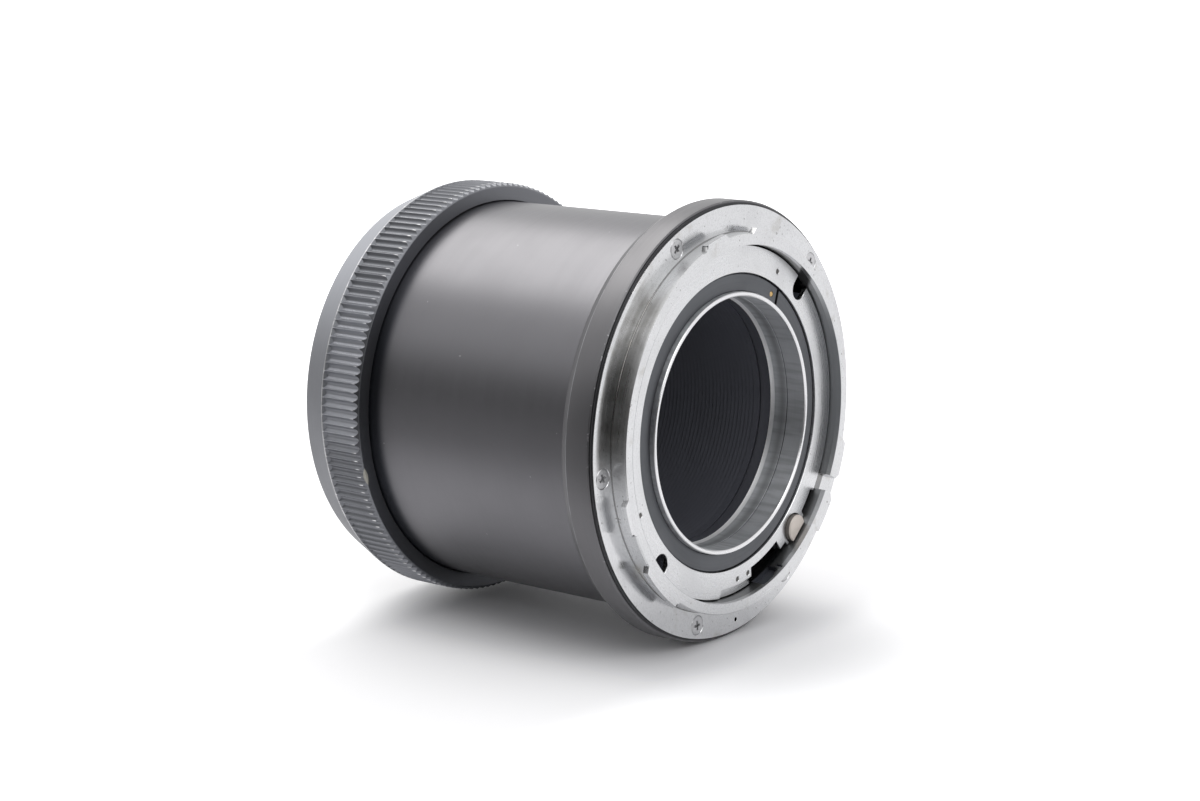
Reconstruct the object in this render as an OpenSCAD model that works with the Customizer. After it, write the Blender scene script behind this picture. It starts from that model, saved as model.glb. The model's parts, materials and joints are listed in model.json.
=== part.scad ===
// Extension tube for a medium format camera, lying on its side.
// X runs along the optical axis towards the lens, Z is up, and the origin is
// on the axis at the rear seating face. Every piece is drawn standing, with
// its axis along Z, and laid down by along_axis().
// Angles are counted from +Y towards +Z, as seen when facing the front mount.

/* [Tube] */
// Distance between the two seating faces
tube_length = 82; // [70:1:110]
// Wall of the barrel
barrel_wall = 2.0; // [1.6:0.1:2.4]
// Step from the mount's lugs out to the barrel
barrel_step = 0.7; // [0.5:0.1:1.5]
// Width of the front flange along the axis, with its rear chamfer
flange_w = 7.3; // [6.3:0.5:9.8]
// Rim of the front flange outside the base ring
flange_rim = 0.9; // [0.5:0.1:3]

/* [Light path] */
// Clear radius of the tube
throat_r = 27.1; // [22:0.1:32]
// Wall of the bright front sleeve
sleeve_wall = 0.9; // [0.6:0.1:1.2]
// Wall of the light tunnel
tunnel_wall = 2.1; // [1.5:0.1:2.5]
// Length of the bright front sleeve
sleeve_length = 9; // [6:0.5:12]
// Depth of the sleeve's rim behind the front seat
sleeve_sink = 2.2; // [2:0.1:2.6]
// Length of the black baffle ring behind the sleeve
baffle_length = 3.2; // [2:0.2:6]

/* [Front bayonet] */
// Height of the collar above the base ring
collar_h = 3.7; // [3.4:0.1:4.4]
// Wall of the collar
collar_wall = 2.4; // [2:0.1:3]
// Reach of the lugs outside the collar
lug_reach = 1.1; // [0.8:0.1:1.4]
// Thickness of the lugs
lug_t = 1.25; // [1:0.05:1.5]
// Width of the base ring outside the collar
base_ring_w = 5.7; // [5.4:0.1:7]
// Thickness of the chromed base ring
base_ring_t = 2.0; // [1.6:0.1:2.4]
// Thickness of the shim under the base ring
shim_t = 0.3; // [0.1:0.1:0.4]
// Radius of a mount screw's head
mount_screw_head_r = 2.1; // [1.6:0.1:2.5]

/* [Lock ring] */
// Wall of the ring, from its chamber to the crests of the knurls
ring_wall = 2.7; // [2.4:0.1:4]
// Length of the ring's tapered back band
ring_band = 7.7; // [7:0.1:9]
// Length of the knurled band
knurl_w = 10.2; // [8.5:0.1:14]
// Number of knurls round the ring
knurl_count = 154; // [120:1:180]
// Depth of a knurl
knurl_depth = 0.7; // [0.5:0.05:1.1]
// Turn of the ring from open to locked, in degrees
lock_turn = 45; // [35:1:50]
// Width of one claw, in degrees
claw_span = 36; // [28:1:38]

/* [Cocking rotor] */
// Space for the pins and the stud, between the drum and the collar
pin_band = 6.6; // [6.4:0.1:8]
// Wall of the drum
drum_wall = 1.2; // [0.9:0.1:1.6]
// Wall of the drum's bushes
bush_wall = 1.05; // [0.8:0.05:1.5]
// Thickness of the front cocking plate
plate_t = 1.2; // [0.8:0.1:1.4]
// Height of the cocking plate's face above the base ring
plate_rise = 0.9; // [0.5:0.1:1]
// Width of the plate's two notches
notch_w = 4.6; // [4:0.1:5]
// Radius of the cocking pins
cocking_pin_r = 1.8; // [1.4:0.1:2]
// Turn of the rotor, in degrees
cocking_turn = 50; // [30:1:55]

/* [Release] */
// Radius of the release stud
stud_r = 3.4; // [2.6:0.1:3.4]
// Radius of the release rod
rod_r = 1.2; // [0.9:0.1:1.4]
// Radius of the rod's rear tip
tip_r = 1.8; // [1.6:0.1:2]
// Height of the stud above the base ring at rest
stud_rise = 2.0; // [1.4:0.1:2.1]
// Travel of the release
release_travel = 1.6; // [1:0.1:1.6]
// Wire radius of the return spring
spring_wire_r = 0.3; // [0.2:0.05:0.35]

/* [Hidden] */
$fn = 180;

// Clearances, small edges, and how far a cut runs past what it cuts
slip = 0.02;
running_gap = 0.05;
thin_gap = 0.2;
side_gap = 0.3;
edge = 0.2;
past = 0.5;

// Radii, from the light path outwards
sleeve_r = throat_r + sleeve_wall;
tunnel_r = throat_r + tunnel_wall;
bush_bore_r = tunnel_r + running_gap;
drum_inner_r = bush_bore_r + bush_wall;
drum_r = drum_inner_r + drum_wall;
cover_r = drum_r + 0.1;
plate_inner_r = cover_r + 0.4;
collar_bore_r = drum_r + pin_band;
plate_r = collar_bore_r - side_gap;
drive_ring_r = collar_bore_r - 0.5;
drum_flange_r = collar_bore_r - 1.7;
flange_bore_r = collar_bore_r + side_gap;
spigot_r = collar_bore_r - thin_gap;
barrel_lip_r = spigot_r + 0.1;
collar_r = collar_bore_r + collar_wall;
collar_neck_r = collar_r - 0.6;
seat_r = collar_r + 0.1;
claw_r = collar_r + thin_gap;
lug_r = collar_r + lug_reach;
seat_plate_r = lug_r - thin_gap;
claw_ring_r = lug_r + thin_gap;
claw_ring_wall = 0.8;
ring_bore_r = claw_ring_r + claw_ring_wall;
ring_back_r = ring_bore_r + 0.7;
barrel_r = lug_r + barrel_step;
barrel_inner_r = barrel_r - barrel_wall;
shoulder_r = barrel_r + 1.1;
ring_chamber_r = shoulder_r + side_gap;
ring_crest_r = ring_chamber_r + ring_wall;
knurl_root_r = ring_crest_r - knurl_depth;
base_ring_r = collar_r + base_ring_w;
mount_screw_pitch_r = collar_r + base_ring_w / 2 - 0.05;
pocket_r = mount_screw_pitch_r + mount_screw_head_r - 0.2;
flange_r = base_ring_r + flange_rim;
reach = 1.5 * flange_r;

// Levels along the axis, from the rear seat at 0
front_seat = tube_length;
base_face = front_seat - collar_h;
base_back = base_face - base_ring_t;
base_lip_t = 0.4;
flange_front = base_face - base_lip_t - shim_t;
flange_back = flange_front - flange_w;
flange_spigot = 4;
flange_chamfer = [0.9, 1.7];
plate_face = base_face + plate_rise;
plate_back = plate_face - plate_t;
cover_t = 1.1;
cover_sink = 0.5;
cover_face = plate_face - cover_sink;
tunnel_front = cover_face - cover_t;
drum_front = tunnel_front - thin_gap;
sleeve_rim = front_seat - sleeve_sink;
sleeve_back = sleeve_rim - sleeve_length;
baffle_back = sleeve_back - baffle_length;

// Rear mount, made to take the same collar as the front one
seat_plate_t = 2.3;
seat_step = 0.4;
spigot_h = collar_h - plate_rise - 0.4;
tunnel_back = 0.4 - spigot_h;
barrel_back = seat_plate_t;
barrel_lip_w = 4;
shoulder_w = 4.4;
shoulder_z = [barrel_back + side_gap, barrel_back + side_gap + shoulder_w];

// Lock ring
ring_back = 0.1 - collar_h;
knurl_back = ring_back + ring_band;
ring_front = knurl_back + knurl_w;
ring_chamfer = 0.9;
run_out = knurl_depth + edge;
band_overlap = 1;
ring_chamber_back = barrel_back - thin_gap;
claw_z = [ring_back + 0.15, -lug_t - thin_gap];
claw_ring_front = ring_chamber_back - thin_gap;
claw_count = 3;
claw_start = 14;
stop_screw_r = 1.0;
stop_screw_angle = 20;
stop_screw_z = (shoulder_z[0] + shoulder_z[1]) / 2;
stop_screw_bite = 0.8;
groove_floor = 0.3;
retainer_sink = 0.05;
mark_angle = 196.4;
mark_length = 3.9;
mark_w = 1.15;
mark_arc_r = (pow(mark_length / 2, 2) + pow(mark_w / 2, 2)) / mark_w;
mark_depth = 0.5;

// Details of the light path
baffle_groove = 0.5;
cover_slot = [53, 62];
cover_slot_r = cover_r - 1.5;
cover_slot_w = 1.8;
cover_slot_depth = 0.7;
cover_pin_angle = 61;
cover_pin_r = 0.55;

// Lugs of the front collar, from and to, in degrees
LUGS = [
    [-45.4, -31.6], [-26.4, -13.4],
    [75.1, 85.6], [97.6, 109.6],
    [192.6, 204.6], [216.1, 237.1]
];
lug_end_slope = 1.5;
collar_neck_h = 0.7;
collar_slot_angle = -29;
collar_slot_w = 3.6;
collar_pocket = [-72, -61];
collar_pocket_depth = 1.1;
collar_pocket_roof = 0.6;
mount_hole_angle = -85.4;
mount_hole_r = 0.5;
mount_hole_depth = 1.2;
mount_hole_pitch_r = mount_screw_pitch_r + 0.7;

// Screws
MOUNT_SCREWS = [45.6, 115.6, 185.8, 255.8, 300.6, 353.1];
mount_screw_shaft_r = 1.0;
mount_screw_length = 5;
mount_screw_turn = 20;
REAR_SCREWS = [15, 75, 135, 195, 255, 315];
rear_screw_pitch_r = (spigot_r + seat_r) / 2;
rear_screw_head_r = 1.1;
rear_screw_shaft_r = 0.65;
rear_screw_length = 5.5;

// Cocking rotor
slot_outer_r = spigot_r - 0.5;
cocking_pitch_r = slot_outer_r - thin_gap - cocking_pin_r;
rod_pitch_r = slot_outer_r - thin_gap - tip_r;
notch_pitch_r = plate_r - 2.1;
notch_angle = 46.1;
NOTCHES = [notch_angle, notch_angle + 180];
// Stretches of the plate's edge that are cut back: from, to, and how deep
PLATE_STEPS = [
    [-95.4, -76.9, 1.1], [-76.9, -58.9, 3.8],
    [-58.9, -54.9, 1.2], [-41.9, -32.9, 1.3]
];
flange_relief = 0.1;
drum_back = barrel_back + side_gap;
drum_flange_t = 2.1;
bush_length = 6;
drive_ring_t = 1.8;
pin_step = 0.5;
cocking_pin_back = 0.4 - collar_h;
RIVETS = [-85.4, -78.9, 61.6, 203.6];
rivet_pitch_r = plate_r - 3.1;
rivet_r = 0.5;
rivet_length = plate_t + 1;

// Release
stud_angle = -48.7;
stud_gap = 0.3;
stud_pitch_r = plate_inner_r + 0.3 + stud_gap + stud_r;
stud_flat_r = drive_ring_r;
stud_top = base_face + stud_rise;
stud_back = plate_back - drum_flange_t - 0.9;
rod_socket = 2;
guide_t = 4;
guide_top = stud_back - side_gap;
guide_back = guide_top - guide_t;
guide_r = rod_r + 0.9;
guide_reach = rod_pitch_r - drum_r + 1.5;
tip_front = drum_back - side_gap - release_travel;
tip_back = stud_rise - collar_h + 0.1;
tip_edge = 0.4;
spring_r = rod_r + 0.95;
spring_turns = 7;
spring_length = 9;
spring_top = guide_back - 0.1;
clip_r = spring_r + 0.45;
clip_t = 1.0;
clip_top = spring_top - spring_length - 2 * spring_wire_r - 0.1;

// Lays a standing piece down along X.
module along_axis() {
    rotate([90, 0, 90])
        children();
}

// A turned piece from its half section, as [radius, height] points.
module turned(section) {
    rotate_extrude()
        polygon(section);
}

// A plain ring.
module ring(outer_r, inner_r, z) {
    turned([[inner_r, z[0]], [outer_r, z[0]], [outer_r, z[1]], [inner_r, z[1]]]);
}

// Puts a child at an angle and a radius, turned to face outwards.
module at_polar(angle, radius, z = 0) {
    rotate([0, 0, angle])
        translate([radius, 0, z])
            children();
}

// The outline of a wedge round the axis, from one angle to another.
module wedge_outline(angles) {
    steps = 8;
    span = angles[1] - angles[0];
    rim = [
        for (i = [0:steps])
            let (a = angles[0] + span * i / steps)
            [reach * cos(a), reach * sin(a)]
    ];
    polygon(concat([[0, 0]], rim));
}

// A part of a ring between two angles.
module ring_sector(outer_r, inner_r, z, angles) {
    intersection() {
        ring(outer_r, inner_r, z);
        translate([0, 0, z[0] - past])
            linear_extrude(z[1] - z[0] + 2 * past)
                wedge_outline(angles);
    }
}

// An arc-shaped slot with round ends, each a hair narrower than the slot.
module arc_slot(pitch_r, width, z, angles) {
    translate([0, 0, z[0]])
        linear_extrude(z[1] - z[0]) {
            intersection() {
                difference() {
                    circle(pitch_r + width / 2);
                    circle(pitch_r - width / 2);
                }
                wedge_outline(angles);
            }
            for (a = angles)
                rotate([0, 0, a])
                    translate([pitch_r, 0])
                        circle(width / 2 - slip);
        }
}

// A countersunk cross-head screw, its head's face at height 0.
module countersunk_screw(head_r, shaft_r, length) {
    cross_w = head_r * 0.28;
    cross_l = head_r * 0.95;
    cross_depth = head_r * 0.35;
    head_h = head_r - shaft_r + edge;
    difference() {
        turned([
            [0, -length], [shaft_r, -length], [shaft_r, -head_h],
            [head_r, -edge], [head_r, 0], [0, 0]
        ]);
        for (a = [0, 90])
            rotate([0, 0, a])
                translate([-cross_l / 2, -cross_w / 2, -cross_depth])
                    cube([cross_l, cross_w, cross_depth + past]);
    }
}

// The hole that a countersunk screw fills.
module screw_hole(head_r, shaft_r, length) {
    head_h = head_r - shaft_r + edge;
    turned([
        [0, -length - slip], [shaft_r + slip, -length - slip], [shaft_r + slip, -head_h],
        [head_r + slip, -edge], [head_r + slip, past], [0, past]
    ]);
}

// Barrel: a plain tube with an inner lip for the rear plate and an outer
// shoulder that the lock ring turns on.
module barrel() {
    color("#454447")
        along_axis()
            difference() {
                turned([
                    [barrel_lip_r, barrel_back], [barrel_r, barrel_back],
                    [barrel_r, shoulder_z[0]], [shoulder_r, shoulder_z[0]],
                    [shoulder_r, shoulder_z[1]], [barrel_r, shoulder_z[1]],
                    [barrel_r, flange_back], [barrel_inner_r, flange_back],
                    [barrel_inner_r, barrel_back + barrel_lip_w],
                    [barrel_lip_r, barrel_back + barrel_lip_w]
                ]);
                stop_groove();
                rear_screw_places()
                    screw_hole(rear_screw_head_r, rear_screw_shaft_r, rear_screw_length);
            }
}

// The gap in the barrel's shoulder that the ring's stop screw travels in.
module stop_groove() {
    margin = 0.5 + asin((stop_screw_r + thin_gap) / barrel_r);
    ring_sector(
        shoulder_r + past, barrel_r + slip,
        [shoulder_z[0] - past, shoulder_z[1] + past],
        [stop_screw_angle - margin, stop_screw_angle + lock_turn + margin]
    );
}

// Front flange: threaded on to the barrel, with the seat of the mount.
module front_flange() {
    rim_edge = edge + running_gap;
    color("#3c3b3d")
        along_axis()
            difference() {
                turned([
                    [flange_bore_r, flange_back - flange_spigot],
                    [barrel_inner_r - slip, flange_back - flange_spigot],
                    [barrel_inner_r - slip, flange_back],
                    [flange_r - flange_chamfer[0], flange_back],
                    [flange_r, flange_back + flange_chamfer[1]],
                    [flange_r, flange_front - rim_edge],
                    [flange_r - rim_edge, flange_front],
                    [pocket_r, flange_front],
                    [pocket_r, base_back],
                    [flange_bore_r, base_back]
                ]);
                mount_screw_places()
                    screw_hole(mount_screw_head_r, mount_screw_shaft_r, mount_screw_length);
            }
}

// Shim that sets the distance between the seats.
module mount_shim() {
    color("#8c8c8e")
        along_axis()
            ring(base_ring_r + flange_rim / 2, pocket_r + slip, [flange_front, flange_front + shim_t]);
}

// Chromed front mount: base ring and collar in one piece, with its lugs.
module bayonet_mount() {
    color("#d6d7d9")
        along_axis()
            difference() {
                union() {
                    turned([
                        [collar_bore_r, base_back],
                        [pocket_r - running_gap, base_back],
                        [pocket_r - running_gap, base_face - base_lip_t],
                        [base_ring_r, base_face - base_lip_t],
                        [base_ring_r, base_face - edge],
                        [base_ring_r - edge, base_face],
                        [collar_neck_r, base_face],
                        [collar_neck_r, base_face + collar_neck_h],
                        [collar_r, base_face + collar_neck_h],
                        [collar_r, front_seat],
                        [collar_bore_r, front_seat]
                    ]);
                    for (lug = LUGS)
                        collar_lug(lug);
                }
                at_polar(collar_slot_angle, collar_bore_r - past, base_face)
                    translate([0, -collar_slot_w / 2, 0])
                        cube([collar_wall + lug_reach + 2 * past, collar_slot_w, collar_h + past]);
                ring_sector(
                    collar_bore_r + collar_pocket_depth, collar_bore_r - past,
                    [plate_back, front_seat - collar_pocket_roof], collar_pocket
                );
                mount_screw_places()
                    screw_hole(mount_screw_head_r, mount_screw_shaft_r, mount_screw_length);
                at_polar(mount_hole_angle, mount_hole_pitch_r, base_face - mount_hole_depth)
                    cylinder(r = mount_hole_r, h = mount_hole_depth + past);
            }
}

// One lug on the collar, its ends cut back at a slope.
module collar_lug(angles) {
    root_r = collar_r - past;
    tip_r = lug_r + past;
    degrees_per_mm = lug_end_slope / lug_reach;
    root_spread = degrees_per_mm * past;
    tip_spread = degrees_per_mm * (lug_reach + past);
    corners = [
        [root_r, angles[0] - root_spread], [tip_r, angles[0] + tip_spread],
        [tip_r + past, (angles[0] + angles[1]) / 2],
        [tip_r, angles[1] - tip_spread], [root_r, angles[1] + root_spread]
    ];
    intersection() {
        ring(lug_r, root_r + running_gap, [front_seat - lug_t, front_seat]);
        translate([0, 0, front_seat - lug_t - past])
            linear_extrude(lug_t + 2 * past)
                polygon([for (c = corners) [c[0] * cos(c[1]), c[0] * sin(c[1])]]);
    }
}

// Puts its children at every mount screw.
module mount_screw_places() {
    for (a = MOUNT_SCREWS)
        at_polar(a, mount_screw_pitch_r, base_face)
            rotate([0, 0, mount_screw_turn])
                children();
}

// Countersunk screws of the front mount.
module mount_screws() {
    color("#c8c9cb")
        along_axis()
            mount_screw_places()
                countersunk_screw(mount_screw_head_r, mount_screw_shaft_r, mount_screw_length);
}

// Bright sleeve that lines the front of the light path.
module front_sleeve() {
    color("#b9bcc0")
        along_axis()
            turned([
                [throat_r, sleeve_back], [sleeve_r, sleeve_back],
                [sleeve_r, sleeve_rim - edge], [sleeve_r - edge, sleeve_rim],
                [throat_r + edge, sleeve_rim], [throat_r, sleeve_rim - edge]
            ]);
}

// Black ring behind the sleeve, with a groove against stray light.
module baffle_ring() {
    color("#1c1c1e")
        along_axis()
            turned([
                [throat_r + baffle_groove, baffle_back], [sleeve_r - slip, baffle_back],
                [sleeve_r - slip, sleeve_back], [throat_r, sleeve_back],
                [throat_r, baffle_back + baffle_groove]
            ]);
}

// Black inner tube that carries the light and the rotor's bearings.
module light_tunnel() {
    color("#1f1f21")
        along_axis()
            turned([
                [throat_r, tunnel_back], [tunnel_r, tunnel_back],
                [tunnel_r, tunnel_front], [sleeve_r + slip, tunnel_front],
                [sleeve_r + slip, baffle_back], [throat_r, baffle_back]
            ]);
}

// Dark ring that closes the front bearing and keeps the rotor in.
module cover_ring() {
    color("#4a4b4e")
        along_axis()
            difference() {
                turned([
                    [sleeve_r + slip, tunnel_front], [cover_r, tunnel_front],
                    [cover_r, cover_face - edge], [cover_r - edge, cover_face],
                    [sleeve_r + side_gap, cover_face], [sleeve_r + slip, cover_face - side_gap]
                ]);
                arc_slot(
                    cover_slot_r, cover_slot_w,
                    [cover_face - cover_slot_depth, cover_face + past], cover_slot
                );
            }
}

// Small brass pin in the slot of the cover ring.
module cover_pin() {
    color("#b98a4a")
        along_axis()
            at_polar(cover_pin_angle, cover_slot_r, cover_face - cover_slot_depth)
                cylinder(r = cover_pin_r, h = cover_slot_depth - running_gap);
}

// Rear mount plate: the seat, the spigot that centres it, and the slots
// that the cocking pins and the release travel in.
module rear_mount_plate() {
    color("#cfd0d2")
        along_axis()
            difference() {
                turned([
                    [tunnel_r + slip, -spigot_h], [spigot_r - edge, -spigot_h],
                    [spigot_r, edge - spigot_h], [spigot_r, 0], [seat_r, 0],
                    [seat_r, seat_step], [seat_plate_r, seat_step],
                    [seat_plate_r, seat_plate_t], [tunnel_r + slip, seat_plate_t]
                ]);
                for (a = NOTCHES)
                    rotor_slot(cocking_pitch_r, a, 2 * cocking_pin_r);
                rotor_slot(rod_pitch_r, stud_angle, 2 * tip_r);
                rear_screw_places()
                    screw_hole(rear_screw_head_r, rear_screw_shaft_r, rear_screw_length);
            }
}

// A slot through the rear plate for something that turns with the rotor.
module rotor_slot(pitch_r, start, width) {
    margin = 0.3;
    arc_slot(
        pitch_r, width + 2 * thin_gap,
        [-spigot_h - past, seat_plate_t + past],
        [start - margin, start + cocking_turn + margin]
    );
}

// Puts its children at every rear plate screw, heads to the rear.
module rear_screw_places() {
    for (a = REAR_SCREWS)
        at_polar(a, rear_screw_pitch_r)
            rotate([180, 0, 0])
                children();
}

// Countersunk screws of the rear plate.
module rear_plate_screws() {
    color("#c8c9cb")
        along_axis()
            rear_screw_places()
                countersunk_screw(rear_screw_head_r, rear_screw_shaft_r, rear_screw_length);
}

// Knurled lock ring. The grooves between its narrow ridges run out into the
// rear band, which tapers to the back edge.
module lock_ring() {
    color("#3f3f42")
        along_axis()
            difference() {
                union() {
                    intersection() {
                        knurl_prism();
                        turned([
                            [0, knurl_back - band_overlap], [ring_crest_r, knurl_back - band_overlap],
                            [ring_crest_r, ring_front - ring_chamfer],
                            [ring_crest_r - ring_chamfer, ring_front], [0, ring_front]
                        ]);
                    }
                    turned([
                        [ring_bore_r - past, ring_back], [ring_back_r, ring_back],
                        [ring_crest_r, knurl_back], [ring_crest_r - run_out, knurl_back + run_out],
                        [ring_bore_r - past, knurl_back + run_out]
                    ]);
                }
                turned([
                    [0, ring_back - past], [ring_bore_r, ring_back - past],
                    [ring_bore_r, ring_chamber_back], [ring_chamber_r, ring_chamber_back],
                    [ring_chamber_r, ring_front + past], [0, ring_front + past]
                ]);
                stop_screw_place()
                    cylinder(r = stop_screw_r + slip, h = ring_wall + ring_chamber_r);
                mark_space(past);
            }
}

// A straight prism with one ridge per knurl, and a flat floor in each groove.
module knurl_prism() {
    knurl_step = 360 / knurl_count;
    corners = [
        [0, ring_crest_r + slip],
        [0.5 - groove_floor / 2, knurl_root_r],
        [0.5 + groove_floor / 2, knurl_root_r]
    ];
    translate([0, 0, knurl_back - band_overlap / 2])
        linear_extrude(knurl_w + band_overlap / 2)
            polygon([
                for (i = [0:knurl_count - 1])
                    for (corner = corners)
                        let (a = (i + corner[0]) * knurl_step)
                        [corner[1] * cos(a), corner[1] * sin(a)]
            ]);
}

// The stop screw points inwards through the ring.
module stop_screw_place() {
    at_polar(stop_screw_angle, shoulder_r - stop_screw_bite, stop_screw_z)
        rotate([0, 90, 0])
            children();
}

// The index mark's place: a slim leaf in the ring's front chamfer. It can
// reach out of the chamfer to cut its pocket.
module mark_space(outward = 0) {
    intersection() {
        at_polar(mark_angle, ring_crest_r - ring_chamfer / 2, ring_front - ring_chamfer / 2)
            rotate([0, 45, 0])
                leaf();
        turned([
            [ring_crest_r - ring_chamfer - mark_depth, ring_front - mark_depth],
            [ring_crest_r - mark_depth, ring_front - ring_chamfer - mark_depth],
            [ring_crest_r + outward, ring_front - ring_chamfer + outward],
            [ring_crest_r - ring_chamfer + outward, ring_front + outward]
        ]);
    }
}

// A block with the outline of a leaf, where two round sides meet in points.
module leaf() {
    intersection_for(side = [-1, 1])
        translate([side * (mark_arc_r - mark_w / 2), 0, 0])
            cylinder(r = mark_arc_r, h = mark_length, center = true);
}

// Pale index mark, flush with the chamfer.
module index_mark() {
    color("#d9d6c8")
        along_axis()
            mark_space();
}

// Steel ring with three claws that draw the mounts together.
module claw_ring() {
    claw_step = 360 / claw_count;
    color("#bfc1c4")
        along_axis()
            union() {
                ring(ring_bore_r, claw_ring_r, [claw_z[0], claw_ring_front]);
                for (i = [0:claw_count - 1])
                    ring_sector(
                        claw_ring_r + claw_ring_wall / 2, claw_r, claw_z,
                        [claw_start + i * claw_step, claw_start + i * claw_step + claw_span]
                    );
            }
}

// Threaded ring that holds the lock ring on the barrel's shoulder.
module ring_retainer() {
    color("#29292b")
        along_axis()
            ring(
                ring_chamber_r - slip, barrel_r + running_gap,
                [shoulder_z[1] + side_gap, ring_front - retainer_sink]
            );
}

// Screw that stops the lock ring at both ends of its turn.
module ring_stop_screw() {
    color("#9a9b9e")
        along_axis()
            stop_screw_place()
                cylinder(r = stop_screw_r, h = knurl_root_r - edge - shoulder_r + stop_screw_bite);
}

// What the cocking plate and the drum's flange have cut out of their edge.
module plate_cuts(z, extra) {
    for (step = PLATE_STEPS)
        ring_sector(plate_r + past, plate_r - step[2] - extra, z, [step[0], step[1]]);
    for (a = NOTCHES)
        edge_notch(a, notch_pitch_r, notch_w / 2 + extra, z);
    edge_notch(stud_angle, stud_pitch_r, stud_r + stud_gap + extra, z);
}

// A notch with a round end, open to the outside.
module edge_notch(angle, pitch_r, radius, z) {
    at_polar(angle, pitch_r, z[0]) {
        cylinder(r = radius, h = z[1] - z[0]);
        translate([0, -radius, 0])
            cube([plate_r - pitch_r + 2 * past, 2 * radius, z[1] - z[0]]);
    }
}

// Chromed cocking plate that turns inside the collar.
module cocking_plate() {
    color("#d2d3d6")
        along_axis()
            difference() {
                turned([
                    [plate_inner_r, plate_back], [plate_r, plate_back],
                    [plate_r, plate_face], [plate_inner_r + edge, plate_face],
                    [plate_inner_r, plate_face - edge]
                ]);
                plate_cuts([plate_back - past, plate_face + past], 0);
                rivet_places()
                    cylinder(r = rivet_r + slip, h = 2 * rivet_length, center = true);
            }
}

// Puts its children at every rivet.
module rivet_places() {
    for (a = RIVETS)
        at_polar(a, rivet_pitch_r, plate_face)
            children();
}

// Flush rivets that hold the plate on the drum.
module plate_rivets() {
    color("#b8b9bb")
        along_axis()
            rivet_places()
                translate([0, 0, -rivet_length])
                    cylinder(r = rivet_r, h = rivet_length);
}

// Drum that carries the turn from the rear pins to the front plate.
module rotor_drum() {
    color("#6d6e72")
        along_axis()
            difference() {
                turned([
                    [drum_inner_r, drum_back], [drum_r, drum_back],
                    [drum_r, plate_back - drum_flange_t], [drum_flange_r, plate_back - drum_flange_t],
                    [drum_flange_r, plate_back], [cover_r + side_gap, plate_back],
                    [cover_r + side_gap, drum_front], [drum_inner_r, drum_front]
                ]);
                plate_cuts([plate_back - drum_flange_t - past, plate_back + past], flange_relief);
                translate([0, 0, -rivet_length])
                    rivet_places()
                        cylinder(r = rivet_r + slip, h = 2 * rivet_length);
            }
}

// Brass bush at the front of the drum, running on the light tunnel.
module front_bush() {
    color("#b98a4a")
        along_axis()
            ring(drum_inner_r - slip, bush_bore_r, [drum_front - bush_length, drum_front]);
}

// Brass bush at the rear of the drum.
module rear_bush() {
    color("#b98a4a")
        along_axis()
            ring(drum_inner_r - slip, bush_bore_r, [drum_back, drum_back + bush_length]);
}

// Ring on the rear of the drum that carries the cocking pins.
module drive_ring() {
    color("#9fa1a5")
        along_axis()
            difference() {
                ring(drive_ring_r, drum_r + slip, [drum_back, drum_back + drive_ring_t]);
                for (a = NOTCHES)
                    at_polar(a, cocking_pitch_r)
                        cylinder(r = cocking_pin_r - pin_step + slip, h = tube_length);
                at_polar(stud_angle, rod_pitch_r)
                    cylinder(r = rod_r + running_gap, h = tube_length);
            }
}

// Two steel pins that the camera turns to cock the shutter.
module cocking_pins() {
    color("#c3c4c7")
        along_axis()
            for (a = NOTCHES)
                at_polar(a, cocking_pitch_r)
                    turned([
                        [0, cocking_pin_back], [cocking_pin_r - edge, cocking_pin_back],
                        [cocking_pin_r, cocking_pin_back + edge], [cocking_pin_r, drum_back],
                        [cocking_pin_r - pin_step, drum_back],
                        [cocking_pin_r - pin_step, drum_back + drive_ring_t],
                        [0, drum_back + drive_ring_t]
                    ]);
}

// Guide on the drum that the release rod slides in.
module release_guide() {
    color("#8f9195")
        along_axis()
            difference() {
                at_polar(stud_angle, rod_pitch_r, guide_back) {
                    cylinder(r = guide_r, h = guide_t);
                    translate([-guide_reach, -guide_r, 0])
                        cube([guide_reach, 2 * guide_r, guide_t]);
                }
                cylinder(r = drum_r + slip, h = tube_length);
                at_polar(stud_angle, rod_pitch_r)
                    cylinder(r = rod_r + running_gap, h = tube_length);
            }
}

// Return spring round the rod, a swept wire.
module release_spring() {
    sides = 6;
    per_turn = 16;
    rings = spring_turns * per_turn;
    bottom = spring_top - spring_length - spring_wire_r;
    points = [
        for (i = [0:rings])
            let (a = 360 * i / per_turn, z = bottom + spring_length * i / rings)
            for (j = [0:sides - 1])
                let (b = 360 * j / sides, r = spring_r + spring_wire_r * cos(b))
                [r * cos(a), r * sin(a), z + spring_wire_r * sin(b)]
    ];
    walls = [
        for (i = [0:rings - 1], j = [0:sides - 1])
            let (k = (j + 1) % sides, p = i * sides, q = p + sides)
            each [[p + j, q + j, p + k], [p + k, q + j, q + k]]
    ];
    caps = [
        for (j = [1:sides - 2])
            each [[0, j, j + 1], [rings * sides, rings * sides + j + 1, rings * sides + j]]
    ];
    color("#a8a9ac")
        along_axis()
            at_polar(stud_angle, rod_pitch_r)
                polyhedron(points = points, faces = concat(walls, caps));
}

// Release stud: a round head with a flat towards the collar, and a socket
// for the rod underneath.
module release_stud() {
    color("#c9c3b8")
        along_axis()
            difference() {
                at_polar(stud_angle, stud_pitch_r)
                    turned([
                        [0, stud_back], [stud_r, stud_back], [stud_r, stud_top - edge],
                        [stud_r - edge, stud_top], [0, stud_top]
                    ]);
                at_polar(stud_angle, stud_flat_r, stud_back - past)
                    translate([0, -2 * stud_r, 0])
                        cube([4 * stud_r, 4 * stud_r, stud_top - stud_back + 2 * past]);
                at_polar(stud_angle, rod_pitch_r, stud_back - past)
                    cylinder(r = rod_r + slip, h = rod_socket + past);
            }
}

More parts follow.
